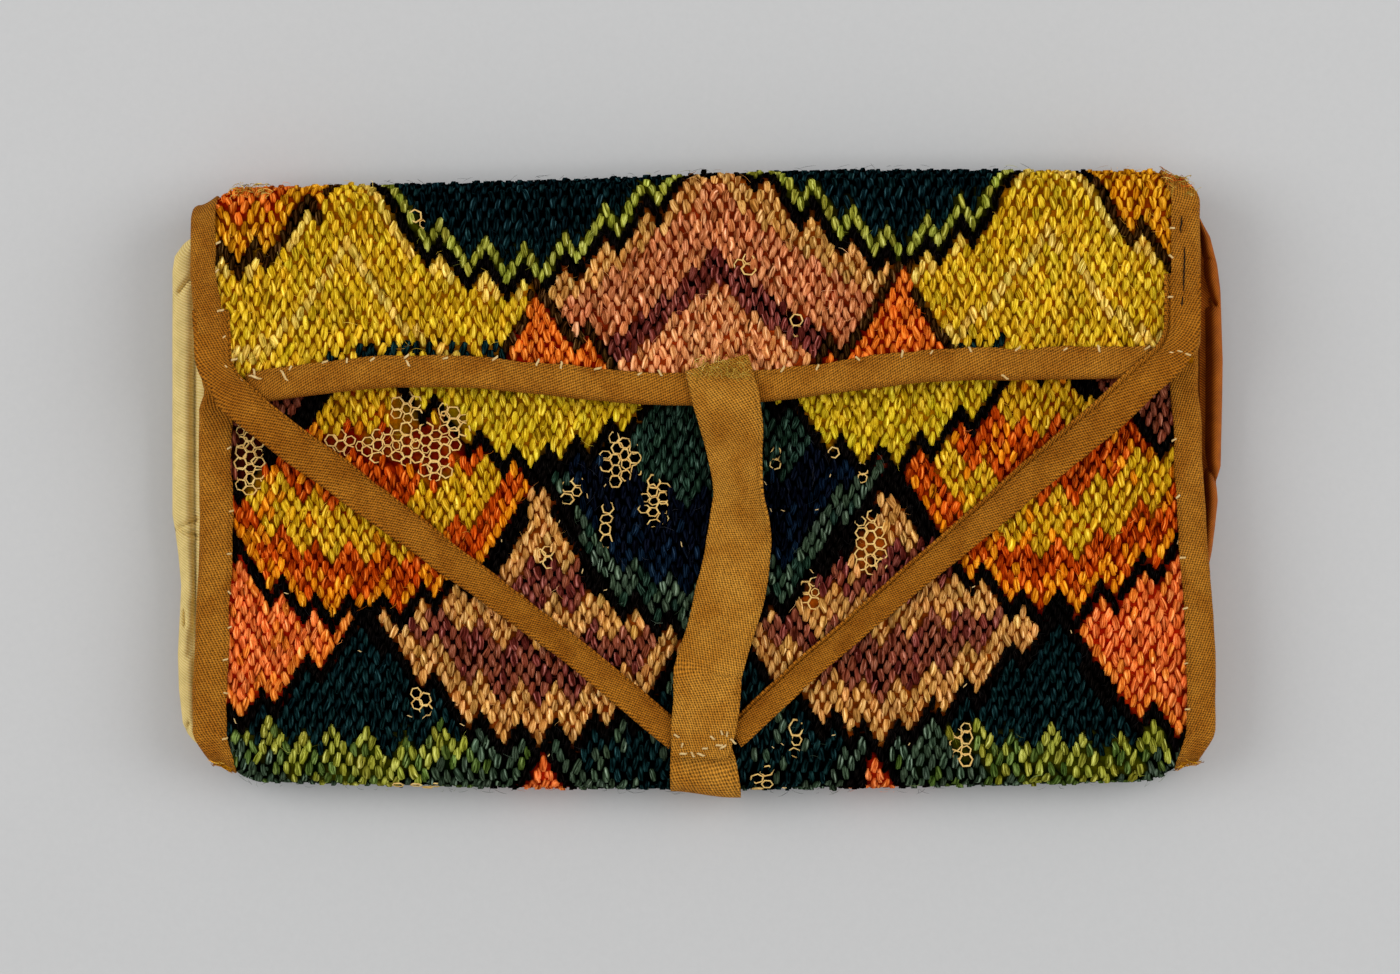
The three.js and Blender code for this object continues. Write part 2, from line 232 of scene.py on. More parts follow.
def link_mesh(name, bm):
    """The shape in bm, smoothly shaded, as a new object of the scene."""
    for face in bm.faces:
        face.smooth = True
    mesh = bpy.data.meshes.new(name)
    bm.to_mesh(mesh)
    bm.free()
    piece = bpy.data.objects.new(name, mesh)
    bpy.context.collection.objects.link(piece)
    return piece


def finish_piece(piece, finish, node):
    piece.data.materials.clear()
    piece.data.materials.append(finish)
    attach(piece, "root")
    if node:
        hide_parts(node)
    return piece


def cloth(name, grid, flat, place, thick):
    """A grid of cloth of that flat size, laid where place(a, b) puts it, a and b from 0 to 1."""
    bm = bmesh.new()
    weave = bm.loops.layers.uv.new("weave")
    bmesh.ops.create_grid(bm, x_segments=grid[0], y_segments=grid[1], size=0.5, calc_uvs=False)
    for face in bm.faces:
        for loop in face.loops:
            loop[weave].uv = ((loop.vert.co.x + 0.5) * flat[0], (loop.vert.co.y + 0.5) * flat[1])
    for vert in bm.verts:
        vert.co = place(vert.co.x + 0.5, vert.co.y + 0.5)
    piece = link_mesh(name, bm)
    wall = piece.modifiers.new("thickness", "SOLIDIFY")
    wall.thickness = thick * MM
    wall.offset = 0
    return piece


def sheet(name, grid, flat, place, thick, finish, node):
    """Cloth that stands for a solid of the frame: it takes its finish and hides that solid."""
    piece = finish_piece(cloth(name, grid, flat, place, thick), finish, node)
    return piece


def add_node(tree, kind, inputs=None, **settings):
    """A node with its settings; each input is a link from another node or a value."""
    node = tree.nodes.new(kind)
    for label, value in settings.items():
        setattr(node, label, value)
    for label, value in (inputs or {}).items():
        if isinstance(value, bpy.types.NodeSocket):
            tree.links.new(value, node.inputs[label])
        else:
            node.inputs[label].default_value = value
    return node


print("cloth is", tape_thick, "mm thick in tape and", lining_thick, "mm in silk")

# %% Small shapes set on many points


def scatter_nodes():
    tree = bpy.data.node_groups.new("set_on_points", "GeometryNodeTree")
    sockets = [("Points", "INPUT", "Geometry"), ("Shape", "INPUT", "Object")]
    for label, way, kind in sockets + [("Pieces", "OUTPUT", "Geometry")]:
        tree.interface.new_socket(label, in_out=way, socket_type="NodeSocket" + kind)
    entry = add_node(tree, "NodeGroupInput").outputs
    shape = add_node(tree, "GeometryNodeObjectInfo", {"Object": entry["Shape"]})
    named = "GeometryNodeInputNamedAttribute"
    turn = add_node(tree, named, {"Name": "turn"}, data_type="QUATERNION")
    size = add_node(tree, named, {"Name": "size"}, data_type="FLOAT_VECTOR")
    setting = add_node(tree, "GeometryNodeInstanceOnPoints", {
        "Points": entry["Points"], "Instance": shape.outputs["Geometry"],
        "Rotation": turn.outputs["Attribute"], "Scale": size.outputs["Attribute"],
    })
    real = add_node(tree, "GeometryNodeRealizeInstances", {"Geometry": setting.outputs["Instances"]})
    add_node(tree, "NodeGroupOutput", {"Pieces": real.outputs["Geometry"]})
    return tree


set_on_points = scatter_nodes()


def surface_turn(x, along, off, tilt):
    """The turn that lays a shape on the folded strip: X across, Y towards the mouth, Z outwards."""
    step = 0.2
    across = fold(x + step, along, off) - fold(x - step, along, off)
    ahead = fold(x, along - step, off) - fold(x, along + step, off)
    out = across.cross(ahead).normalized()
    ahead = out.cross(across).normalized()
    basis = Matrix((ahead.cross(out), ahead, out)).transposed()
    return basis.to_quaternion() @ Quaternion(UP, tilt)


def laid(x, along, level, tilt, size, colour=(1, 1, 1), tip=0.0):
    """One copy on the folded strip: its spot, its turn, its size in millimetres and its colour."""
    turn = surface_turn(x, along, level, tilt) @ Quaternion((1, 0, 0), tip)
    return fold(x, along, level), turn, size, colour


def scatter(name, template, copies, finish):
    """A piece made of one copy of the template for each spot, turn, size and colour."""
    spots_at, turns, sizes, colours = zip(*copies)
    mesh = bpy.data.meshes.new(name)
    mesh.from_pydata(spots_at, [], [])
    fields = (
        ("turn", "QUATERNION", "value", [tuple(turn) for turn in turns]),
        ("size", "FLOAT_VECTOR", "vector", np.array(sizes) * MM),
        ("wool", "FLOAT_COLOR", "color", [(*colour, 1) for colour in colours]),
    )
    for label, kind, field, values in fields:
        attribute = mesh.attributes.new(label, kind, "POINT")
        attribute.data.foreach_set(field, np.array(values).ravel())
    piece = bpy.data.objects.new(name, mesh)
    bpy.context.collection.objects.link(piece)
    setting = piece.modifiers.new("copies", "NODES")
    setting.node_group = set_on_points
    setting[set_on_points.interface.items_tree["Shape"].identifier] = template
    seen = bpy.context.evaluated_depsgraph_get()
    made = bpy.data.meshes.new_from_object(
        piece.evaluated_get(seen), preserve_all_data_layers=True, depsgraph=seen
    )
    piece.modifiers.clear()
    piece.data = made
    for extra in ("turn", "size"):
        if extra in made.attributes:
            made.attributes.remove(made.attributes[extra])
    return finish_piece(piece, finish, None)


def turn_all(bm, axis, angle):
    bmesh.ops.rotate(bm, verts=bm.verts, cent=(0, 0, 0), matrix=Matrix.Rotation(angle, 3, axis))


def bead(sides, rings):
    """A low sphere of unit length, its poles along Y: the start of a strand, thread or hair."""
    bm = bmesh.new()
    bmesh.ops.create_uvsphere(bm, u_segments=sides, v_segments=rings, radius=0.5)
    turn_all(bm, "X", math.pi / 2)
    return bm


print("geometry node group ready:", set_on_points.name)

# %% [markdown]
# ## The wool's pattern
# Upright stitches stand in columns. Each column starts half a stitch higher or lower than its
# neighbour, so every edge between two wools is a row of teeth. The pattern is the traditional one
# of overlapping fish scales: rows of round-ended scales, each row shifted by half a scale. Instead
# of a picture, each stitch works out its own colour by counting how many half stitches it stands
# from the edges of its scale, as a needleworker counts on the canvas.

# %% Count the stitch grid and the scales
scale_width = 62.2
row_pitch = 23.3
scale_centre = 3.2
first_tip = 20
columns_per_scale = 60
column = scale_width / columns_per_scale
half_stitch = 1.578
scale_drop = 14
scale_curve = 2.1
flap_row = 9
first_stitch = 6.2
tooth_size = 0.9
catch_up = 2.6
steep_slope = 0.8
even_count = [-88, -59, -27.9, 3.2, 34.3, 65.4, 94]
front_seen = [-90, -62.8, -29.2, 3.2, 33.4, 65.1, 92]
flap_seen = [-88, -59.5, -29.9, 3.2, 36.5, 66, 92]
print(f"a stitch is {column:.2f} mm wide and {2 * half_stitch:.2f} mm long")

# %% [markdown]
# The visible scales are not all alike, so their lower edges are measured: the tips and the notches
# of each row, as millimetres across and along the strip, and how strongly each stretch between
# them curves. Rows that nobody sees from the front keep the even count.

# %% Measure the visible scales
row_turns = {
    1: [(-86, 45), (-66, 20), (-59, 20), (-29.3, 40), (3.2, 16), (33.2, 40.3), (63.5, 16), (88, 38.5)],
    2: [(-92, 44), (-62.9, 67), (-29.5, 38.5), (3.2, 70), (33.4, 41), (65.3, 67), (92, 47.5)],
    3: [(-88, 87.7), (-61, 67), (-28.9, 89.7), (3.2, 69.5), (33.2, 89.3), (65.6, 67.6), (91, 89.7)],
    4: [(-92, 100), (-60, 113), (-29.3, 90.5), (3.2, 113), (31.7, 91), (65, 113), (92, 100)],
    9: [(-83, 225), (-63, 206), (-59.5, 212), (-30.2, 229.7), (3.2, 207), (36.8, 227.9), (61, 208),
        (64, 205), (86, 226)],
    10: [(-59, 262), (-30.6, 230.2), (3.2, 258), (36.6, 229), (63, 262)],
}
row_curves = {
    1: [1.3, 1, 1.7, 1.8, 1.8, 1.7, 1.7],
    2: [2.4, 3.2, 3, 2, 2.1, 1.7],
    3: [1.6, 2.05, 2, 1.65, 1.5, 2.6],
    4: [1.7] * 6,
    9: [1.6, 1, 2.3, 1.35, 1.4, 1.6, 1, 1.5],
    10: [2.7, 1.35, 1.35, 1.8],
}


def measured_edge(row, x):
    """Where a measured row ends in each column, without its teeth."""
    turns = row_turns[row]
    edge = np.where(x < turns[0][0], turns[0][1], turns[-1][1]).astype(float)
    for (x0, a0), (x1, a1), curve in zip(turns, turns[1:], row_curves[row]):
        tip_x, tip, notch = (x0, a0, a1) if a0 > a1 else (x1, a1, a0)
        inside = (x >= x0) & (x < x1)
        edge[inside] = tip - (tip - notch) * (np.abs(x[inside] - tip_x) / (x1 - x0)) ** curve
    return edge


def counted(x, along):
    """Scales are not all worked to one width: where each stitch falls in an even count."""
    front = np.interp(x, front_seen, even_count)
    flap = np.interp(x, flap_seen, even_count)
    return np.where(along > top_start, flap, front)


def row_centre(row):
    return scale_centre + (row % 2) * scale_width / 2


def plain_edge(row, x):
    """How far along the strip a row of scales ends in each column, before its teeth."""
    if row in row_turns:
        return measured_edge(row, x)
    half = columns_per_scale / 2
    tip = first_tip + row * row_pitch
    count = np.round((counted(x, np.full(len(x), tip)) - row_centre(row)) / column)
    count = np.abs((count + half) % columns_per_scale - half)
    return tip - half_stitch * scale_drop * (count / half) ** scale_curve


def toothed(edge, numbers):
    """The same edge as stitches make it: half a stitch up or down from each column to the next."""
    level = round((edge[0] - first_stitch) / half_stitch)
    level += (level + numbers[0] + 1) % 2
    step = 1
    levels = []
    for goal in (edge - first_stitch) / half_stitch:
        levels.append(level)
        if (level - goal) * step > tooth_size:
            step = -step
        level += 3 * step if abs(level - goal) > catch_up else step
    return first_stitch + half_stitch * np.array(levels)


column_numbers = np.arange(-95, 96)
column_places = scale_centre + column_numbers * column
plain_rows = np.array([plain_edge(row, column_places) for row in range(-1, 13)])
toothed_rows = np.array([toothed(edge, column_numbers) for edge in plain_rows])
steep_rows = np.abs(np.gradient(plain_rows, axis=1)) > steep_slope * half_stitch


def find_scales(x, even, along):
    """The row and place of each stitch's scale, and its distances to the scale's edges."""
    number = np.round((x - scale_centre) / column).astype(int) - column_numbers[0]
    number = number.clip(0, len(column_numbers) - 1)
    index = (along > toothed_rows[:, number]).sum(axis=0)
    lower = np.minimum(index, len(toothed_rows) - 1)
    upper = np.maximum(index - 1, 0)
    row = index - 1
    below = (toothed_rows[lower, number] - along) / half_stitch
    above = (along - toothed_rows[upper, number]) / half_stitch
    arrow = (along - plain_rows[upper, number]) / half_stitch
    centre = row_centre(row)
    middle = centre + np.round((even - centre) / scale_width) * scale_width
    return row, middle, below, above, arrow, np.abs(even - middle) / column, steep_rows[upper, number]


print(len(row_turns), "rows of scales are measured,", len(plain_rows), "in all")

# %% [markdown]
# ## Wool colours
# The wools have faded unevenly, so each shade is written as the colour it shows today. A scale is
# a short list of bands, counted in half stitches from its lower rim upwards, or from its upper
# edges downwards where the photograph shows arrow-shaped bands. Some bands run flatter than the
# rim they stand on.

# %% Name the wools and the bands of each scale


def wool(red, green, blue):
    """A colour as seen on a screen, made linear for the renderer."""
    seen = np.array([red, green, blue]) / 255
    return np.where(seen <= 0.04045, seen / 12.92, ((seen + 0.055) / 1.055) ** 2.4)


seen_today = {
    "lemon": (214, 170, 29), "buff": (220, 181, 70), "gold": (210, 138, 18), "orange": (222, 106, 28),
    "ember": (190, 69, 9), "amber": (224, 130, 16), "olive": (211, 175, 29), "straw": (209, 159, 23),
    "rose": (206, 125, 76), "tan": (207, 147, 75), "mauve": (120, 58, 38), "plum": (99, 39, 31),
    "salmon": (222, 144, 86), "coral": (234, 114, 50), "apricot": (230, 122, 40), "bottle": (7, 25, 28),
    "teal": (7, 26, 27), "slate": (52, 67, 49), "navy": (10, 23, 38), "lime": (146, 146, 50),
    "moss": (84, 104, 44), "black": (10, 7, 6), "bark": (62, 38, 14), "ink": (7, 11, 22),
    "pine": (26, 45, 34),
}
shades = {name: wool(*colour) for name, colour in seen_today.items()}

rest = 99
flame = [(3, "amber"), (5.5, "ember"), (12.5, "straw"), (20, "ember"), (rest, "straw")]
heather = [(4, "tan"), (10, "mauve"), (14.5, "tan"), (20.5, "plum"), (rest, "tan")]
ripe = [(2.2, "apricot"), (rest, "coral")]
pond = [(4.8, "slate"), (8.5, "navy"), (14.5, "ink"), (rest, "pine")]
pool = [(3.5, "slate"), (rest, "teal")]
fern = [(8.6, "slate"), (13.2, "lime"), (rest, "teal")]
leaf = [(2, "lime"), (rest, "bottle")]
glow = [(3.5, "gold"), (rest, "orange")]
plain = {name: [(rest, name)] for name in shades}
print(len(shades), "wools")

# %% Give every scale its bands
outline = 2.0
band_wander = 0.8
mended_share = 0.55
mended_depth = 7.4
tone_spread = 0.1
hue_spread = 0.035
scales = {
    (0, "middle"): flame, (0, "side"): flame,
    (1, "inner"): plain["olive"], (1, "edge"): plain["mauve"],
    (2, "middle"): pond, (2, "side"): flame,
    (3, "inner"): heather, (3, "edge"): ripe,
    (4, "middle"): pool, (4, "side"): fern,
    (5, "inner"): ripe, (5, "edge"): plain["olive"],
    (6, "middle"): plain["rose"], (6, "side"): plain["lemon"],
    (7, "inner"): flame, (7, "edge"): ripe,
    (8, "middle"): heather, (8, "side"): heather,
    (9, "inner"): leaf, (9, "edge"): glow,
    (11, "inner"): plain["orange"], (11, "edge"): plain["orange"],
}
flatter = {(3, "inner"): 0.55, (4, "side"): 0.55, (8, "middle"): 0.55, (8, "side"): 0.55}
arrows = {
    (10, "middle"): [(5, "tan"), (12.3, "rose"), (15.6, "plum"), (rest, "salmon")],
    (10, "side"): [(3, "buff"), (11, "lemon"), (12.8, "buff"), (rest, "lemon")],
}
mixed = {
    (2, "middle"): {"slate": ("pine", 0.25), "navy": ("ink", 0.4), "ink": ("navy", 0.15)},
    (2, "side"): {"ember": ("amber", 0.16), "straw": ("amber", 0.08), "amber": ("ember", 0.2)},
    (4, "middle"): {"teal": ("slate", 0.16)},
    (3, "inner"): {"mauve": ("plum", 0.3), "plum": ("mauve", 0.3)},
    (3, "edge"): {"coral": ("apricot", 0.18)},
    (4, "side"): {"lime": ("moss", 0.36), "slate": ("moss", 0.18)},
}


def place_name(row, middle):
    if row % 2 == 0:
        return "middle" if abs(middle) < 20 else "side"
    return "inner" if abs(middle) < 60 else "edge"


def band_colour(bands, count):
    return next(name for limit, name in bands if count < limit)


def name_wool(row, middle, below, above, arrow, side, luck):
    """The wool of one stitch, from its scale and its counts; luck mixes a second wool in."""
    scale = (row, place_name(row, middle))
    if scale in arrows:
        return band_colour(arrows[scale], arrow)
    if scale == (9, "edge") and middle > 0:
        return "gold"
    if scale == (3, "inner") and above < 8.5 and side < 5.5:
        return "tan"
    bands = scales.get(scale, plain["olive"])
    count = below
    if below > bands[0][0]:
        count += flatter.get(scale, 0) * scale_drop * (side / columns_per_scale * 2) ** scale_curve
    if bands is heather:
        count += band_wander * (luck - 0.5)
    name = band_colour(bands, max(0, count))
    second, share = mixed.get(scale, {}).get(name, (name, 0))
    return second if luck < share else name


def outline_wool(row, x, even):
    """Outlines are black, but brown at the ends of the flap's last rows."""
    flap_end = row == flap_row + 1 and abs(even) > 60 and not 60 < x < 72
    return "bark" if flap_end or row == flap_row + 2 else "black"


def is_mended(row, x, along):
    """Two stretches beside the flap's tape were worked again in dark wool."""
    near_tape = row > flap_row and flap_edge(x) - along < mended_depth
    return near_tape and (-66.5 < x < -35 or 47.5 < x < 55.5)


def stitch_colours(x, along, seed):
    """The wool of every stitch, a little uneven as hand-dyed wool is."""
    chance = np.random.default_rng(seed)
    even = counted(x, along)
    rows, middles, belows, aboves, arrow_counts, sides, steeps = find_scales(x, even, along)
    colours = np.zeros((len(x), 3))
    luck = chance.random(len(x))
    for i, row in enumerate(rows):
        thick = steeps[i] and row < flap_row
        if aboves[i] < (2 * outline if thick else outline):
            name = outline_wool(row, x[i], even[i])
        else:
            counts = belows[i], aboves[i], arrow_counts[i], sides[i]
            name = name_wool(row, middles[i], *counts, luck[i])
        if luck[i] < mended_share and is_mended(row, x[i], along[i]):
            name = "teal"
        colours[i] = shades[name]
    tone = 1 + tone_spread * chance.standard_normal((len(x), 1)).clip(-2, 2)
    hue = 1 + hue_spread * chance.standard_normal((len(x), 3)).clip(-2, 2)
    return (colours * tone * hue).clip(0, 1)


print(len(scales) + len(arrows), "kinds of scale")

# %% [markdown]
# ## Node groups that several finishes share
# Two effects come back on nearly every piece. Fibre is the fine uneven hair of wool, linen and
# silk: a stretched noise. Twill is the slanting rib of the woven tape, made of two sine waves on
# the weave map. Both are groups, built once, that give out values which vary over the surface.

# %% Build the fibre and twill groups


def new_group(name, **values):
    """A group that takes a vector and named values, and gives out a height and a tone."""
    tree = bpy.data.node_groups.new(name, "ShaderNodeTree")
    tree.interface.new_socket("Vector", in_out="INPUT", socket_type="NodeSocketVector")
    for label, value in values.items():
        socket = tree.interface.new_socket(label, in_out="INPUT", socket_type="NodeSocketFloat")
        socket.default_value = value
    for label in ("Height", "Tone"):
        tree.interface.new_socket(label, in_out="OUTPUT", socket_type="NodeSocketFloat")
    return tree, add_node(tree, "NodeGroupInput").outputs


def calculate(tree, operation, first, second=0.0):
    inputs = {0: first, 1: second}
    return add_node(tree, "ShaderNodeMath", inputs, operation=operation).outputs["Value"]


def vector_sum(tree, operation, inputs, output="Vector"):
    return add_node(tree, "ShaderNodeVectorMath", inputs, operation=operation).outputs[output]


def split(tree, vector):
    return add_node(tree, "ShaderNodeSeparateXYZ", {"Vector": vector}).outputs


def fall_off(tree, value, start, stop, before, after):
    """A value that passes smoothly from one number to another."""
    ends = {"From Min": start, "From Max": stop, "To Min": before, "To Max": after}
    node = add_node(tree, "ShaderNodeMapRange", {"Value": value, **ends}, interpolation_type="SMOOTHSTEP")
    return node.outputs["Result"]


def fibre_group():
    tree, given = new_group("fibre", Scale=1.0, Contrast=0.3)
    inputs = {"Vector": given["Vector"], "Scale": given["Scale"], "Detail": 3, "Roughness": 0.6}
    hair = add_node(tree, "ShaderNodeTexNoise", inputs).outputs["Fac"]
    tone = calculate(tree, "MULTIPLY", calculate(tree, "SUBTRACT", hair, 0.5), given["Contrast"])
    add_node(tree, "NodeGroupOutput", {"Height": hair, "Tone": calculate(tree, "ADD", tone, 1.0)})
    return tree


def ribs(tree, vector, direction, pitch):
    """A sine wave across the weave map, one rib every pitch millimetres."""
    angle = math.radians(direction)
    wave = 2 * math.pi / pitch
    across = (wave * math.cos(angle), wave * math.sin(angle), 0)
    return calculate(tree, "SINE", vector_sum(tree, "DOT_PRODUCT", {0: vector, 1: across}, "Value"))


def twill_group():
    """Leaning ribs crossed by threads, pulled uneven, with a dark line along one selvedge."""
    tree, given = new_group("twill")
    vector = given["Vector"]
    uneven = add_node(tree, "ShaderNodeTexNoise", {"Vector": vector, "Scale": 1.6, "Detail": 5}).outputs
    pulled = vector_sum(tree, "MULTIPLY_ADD", {0: uneven["Color"], 1: (0.35, 0.35, 0), 2: vector})
    thread = calculate(tree, "MULTIPLY", ribs(tree, pulled, 97, 0.42), 0.7)
    pips = calculate(tree, "ADD", ribs(tree, pulled, 27, 0.5), thread)
    height = calculate(tree, "ADD", pips, calculate(tree, "MULTIPLY", uneven["Fac"], 2.2))
    tone = calculate(tree, "MULTIPLY", calculate(tree, "SUBTRACT", height, 1.1), 0.46)
    line = calculate(tree, "ABSOLUTE", calculate(tree, "SUBTRACT", split(tree, vector)["X"], 0.8))
    selvedge = fall_off(tree, line, 0.08, 0.24, 0.8, 1.0)
    whole = calculate(tree, "MULTIPLY", calculate(tree, "ADD", tone, 1.0), selvedge)
    add_node(tree, "NodeGroupOutput", {"Height": height, "Tone": whole})
    return tree


fibre = fibre_group()
twill = twill_group()
print("shared finishes:", fibre.name, twill.name)

# %% [markdown]
# ## Finishes
# Wool reads its colour from the stitch it belongs to, with painted shade at the ends and flanks of each
# strand.
# Tape, silk and linen each have one dye, which their weave and their dirt make uneven; the rust silk also
# has painted shade where it folds in under its binding. All of them are rough: cloth scatters light, and
# only the silk keeps a low sheen.

# %% Helpers for finishes


def new_finish(name, roughness, shine=0.25):
    made = bpy.data.materials.new(name)
    made.use_nodes = True
    shader = made.node_tree.nodes["Principled BSDF"]
    shader.inputs["Roughness"].default_value = roughness
    shader.inputs["Specular IOR Level"].default_value = shine
    return made, made.node_tree, shader.inputs


def place_group(tree, group, vector, **values):
    return add_node(tree, "ShaderNodeGroup", {"Vector": vector, **values}, node_tree=group).outputs


def fibre_in_space(tree, scale, contrast):
    """Fibre that follows the piece's own space, for what has no weave map."""
    place = add_node(tree, "ShaderNodeTexCoord").outputs["Object"]
    return place_group(tree, fibre, place, Scale=scale, Contrast=contrast)


def weave_map(tree):
    return add_node(tree, "ShaderNodeUVMap", uv_map="weave").outputs["UV"]


def stitch_shade(tree):
    return add_node(tree, "ShaderNodeAttribute", attribute_name="wool").outputs


def toned(tree, colour, tone):
    return vector_sum(tree, "SCALE", {0: colour, "Scale": tone})


def colour_ramp(tree, value, stops):
    """A dye that goes from a dark stop to a pale one."""
    node = add_node(tree, "ShaderNodeValToRGB", {"Fac": value})
    for element, (position, colour) in zip(node.color_ramp.elements, stops):
        element.position = position
        element.color = (*colour, 1)
    return node.outputs["Color"]


def dress(tree, shader, colour, height, depth):
    """Links a finish's colour and its bump, whose depth is in millimetres."""
    bump = add_node(tree, "ShaderNodeBump", {"Distance": depth * MM, "Height": height})
    tree.links.new(colour, shader["Base Color"])
    tree.links.new(bump.outputs["Normal"], shader["Normal"])


print("finish helpers ready")

# %% Wool, ground, linen and thread


def wool_finish():
    """Fibres along the strand, and painted shade: its ends and outer flank are darker and deeper in
    colour.
    """
    made, tree, shader = new_finish("wool_yarn", 1.0, 0.0)
    shade = stitch_shade(tree)
    grain = weave_map(tree)
    own = add_node(tree, "ShaderNodeMapping", {"Vector": shade["Vector"], "Scale": (90, 90, 90)})
    strand = vector_sum(tree, "MULTIPLY_ADD", {0: grain, 1: (2.6, 0.8, 1), 2: own.outputs["Vector"]})
    hair = place_group(tree, fibre, strand, Scale=1.0, Contrast=4.0)
    on_strand = split(tree, grain)
    # painted shade: darker towards the strand's ends and its outer flank, as if shadowed by its
    # neighbours
    ends = fall_off(tree, calculate(tree, "ABSOLUTE", on_strand["Y"]), 0.24, 0.5, 1.0, 0.7)
    painted_flank_shade = fall_off(tree, on_strand["X"], 0.2, 0.5, 1.0, 0.76)
    tone = calculate(tree, "MULTIPLY", hair["Tone"], calculate(tree, "MULTIPLY", ends, painted_flank_shade))
    # painted shade: the lower the tone, the deeper the colour, as in the shadow between stitches
    depth = calculate(tree, "SUBTRACT", 1.55, calculate(tree, "MULTIPLY", tone, 0.55))
    shade_deepened = add_node(tree, "ShaderNodeGamma", {"Color": shade["Color"], "Gamma": depth})
    dress(tree, shader, toned(tree, shade_deepened.outputs["Color"], tone), hair["Height"], 0.3)
    return made


def ground_finish():
    made, tree, shader = new_finish("canvas_ground_shade", 1.0, 0.0)
    hair = fibre_in_space(tree, 1500.0, 1.6)
    dress(tree, shader, toned(tree, stitch_shade(tree)["Color"], hair["Tone"]), hair["Height"], 0.3)
    return made


def linen_finish(name, dark, pale):
    made, tree, shader = new_finish(name, 0.85)
    hair = fibre_in_space(tree, 1200.0, 0.5)["Height"]
    dress(tree, shader, colour_ramp(tree, hair, [(0.3, dark), (0.7, pale)]), hair, 0.1)
    return made


wool_yarn = wool_finish()
canvas_ground_shade = ground_finish()
bare_linen = linen_finish("bare_linen", wool(222, 170, 88), wool(255, 222, 142))
cream_thread = linen_finish("cream_thread", wool(196, 158, 92), wool(232, 204, 146))
print("finishes:", wool_yarn.name, bare_linen.name, cream_thread.name)

# %% Tape and silk


def tape_finish(name, dark, pale):
    made, tree, shader = new_finish(name, 0.95, 0.08)
    flat = weave_map(tree)
    weave = place_group(tree, twill, flat)
    dirt = place_group(tree, fibre, flat, Scale=0.13, Contrast=0.6)
    dye = colour_ramp(tree, dirt["Height"], [(0.36, dark), (0.62, pale)])
    dress(tree, shader, toned(tree, dye, weave["Tone"]), weave["Height"], 0.1)
    return made


def silk_finish(name, dark, pale, slant, pitch, depth, inner=1.0):
    """Ribbed silk: dark lines between leaning ribs, and painted shade towards the binding; inner is how
    dark it gets.
    """
    made, tree, shader = new_finish(name, 0.6, 0.12)
    flat = weave_map(tree)
    cloud = place_group(tree, fibre, flat, Scale=0.3, Contrast=0.5)
    clouds = calculate(tree, "MULTIPLY", cloud["Height"], 1.4)
    ridge = calculate(tree, "ADD", ribs(tree, flat, 90 - slant, pitch), clouds)
    dye = colour_ramp(tree, calculate(tree, "MULTIPLY", ridge, 0.5), [(0.0, dark), (depth, pale)])
    # painted shade: darker towards the binding, where the silk folds in under it
    painted_fold_shade = fall_off(tree, split(tree, flat)["X"], 2.6, 7.2, inner, 1.0)
    tone = calculate(tree, "MULTIPLY", cloud["Tone"], painted_fold_shade)
    dress(tree, shader, toned(tree, dye, tone), ridge, 0.06)
    return made


binding_tape = tape_finish("binding_tape", wool(158, 94, 20), wool(182, 118, 34))
strap_tape = tape_finish("strap_tape", wool(152, 88, 15), wool(176, 110, 27))
closing_tape_cloth = tape_finish("closing_tape_cloth", wool(176, 112, 30), wool(200, 138, 48))
straw_silk = silk_finish("straw_silk", wool(219, 191, 112), wool(240, 214, 143), 24, 0.5, 0.42)
# the rust silk has painted shade down to 0.36 beside its binding
rust_silk = silk_finish("rust_silk", wool(130, 56, 9), wool(224, 126, 26), 40, 0.36, 0.9, 0.36)
lining_silk = silk_finish("lining_silk", wool(168, 142, 90), wool(196, 170, 112), 0, 0.5, 0.6)
print("tapes and silks ready")

# %% [markdown]
# ## Canvas and lining
# The canvas carries every stitch, and where the wool has gone it is all that is left. It is a
# folded sheet under the stitches, shaded with the dark of the wool above it, since the gaps
# between stitches show only shadow. The silk lining follows inside it.

# %% Fold the canvas and the lining
ground_top = 1.6


def on_strip(off):
    def place(a, b):
        x = (a - 0.5) * (strip_width - 0.6)
        return fold(x, b * (flap_edge(x) - 0.3) + 0.1, off)
    return place


canvas = cloth("canvas_ground", (130, 176), strip_flat, on_strip(ground_top / 2), ground_top)
finish_piece(canvas, canvas_ground_shade, "canvaswork")
lining = sheet("silk_lining", (40, 96), strip_flat, on_strip(lining_middle), lining_thick, lining_silk,
               "lining")
print("canvas vertices:", len(canvas.data.vertices), "lining vertices:", len(lining.data.vertices))

# %% [markdown]
# ## Bare spots
# Moths have eaten some of the wool. There the open canvas shows: the stitches had pushed its
# threads apart into rows of small oval rings. A bare spot is an ellipse on the front or the flap,
# written as its middle and half sizes in pixels of the photograph. Every stitch inside it is left
# out, and rings are set there instead. The first few spots are large enough to show the canvas.

# %% List the bare spots
photo_middle = (697, 480)
photo_scale = 0.1814
large_spots = 6
bare_front = [
    (245, 452, 17, 42), (412, 444, 52, 19), (406, 408, 13, 14), (452, 424, 15, 19), (436, 470, 12, 15),
    (343, 444, 18, 12), (621, 461, 17, 26), (655, 500, 13, 24), (573, 491, 9, 13), (606, 524, 9, 17),
    (546, 555, 8, 13), (810, 592, 9, 18), (871, 543, 17, 29), (964, 736, 11, 24), (762, 768, 14, 9),
    (419, 697, 12, 14), (798, 733, 7, 12), (420, 777, 26, 5), (838, 452, 7, 7), (863, 475, 6, 9),
    (778, 460, 5, 8),
]
bare_flap = [(745, 268, 8, 10), (794, 322, 7, 11), (420, 224, 6, 8)]


def from_photo(px, py):
    return (px - photo_middle[0]) * photo_scale, (photo_middle[1] - py) * photo_scale


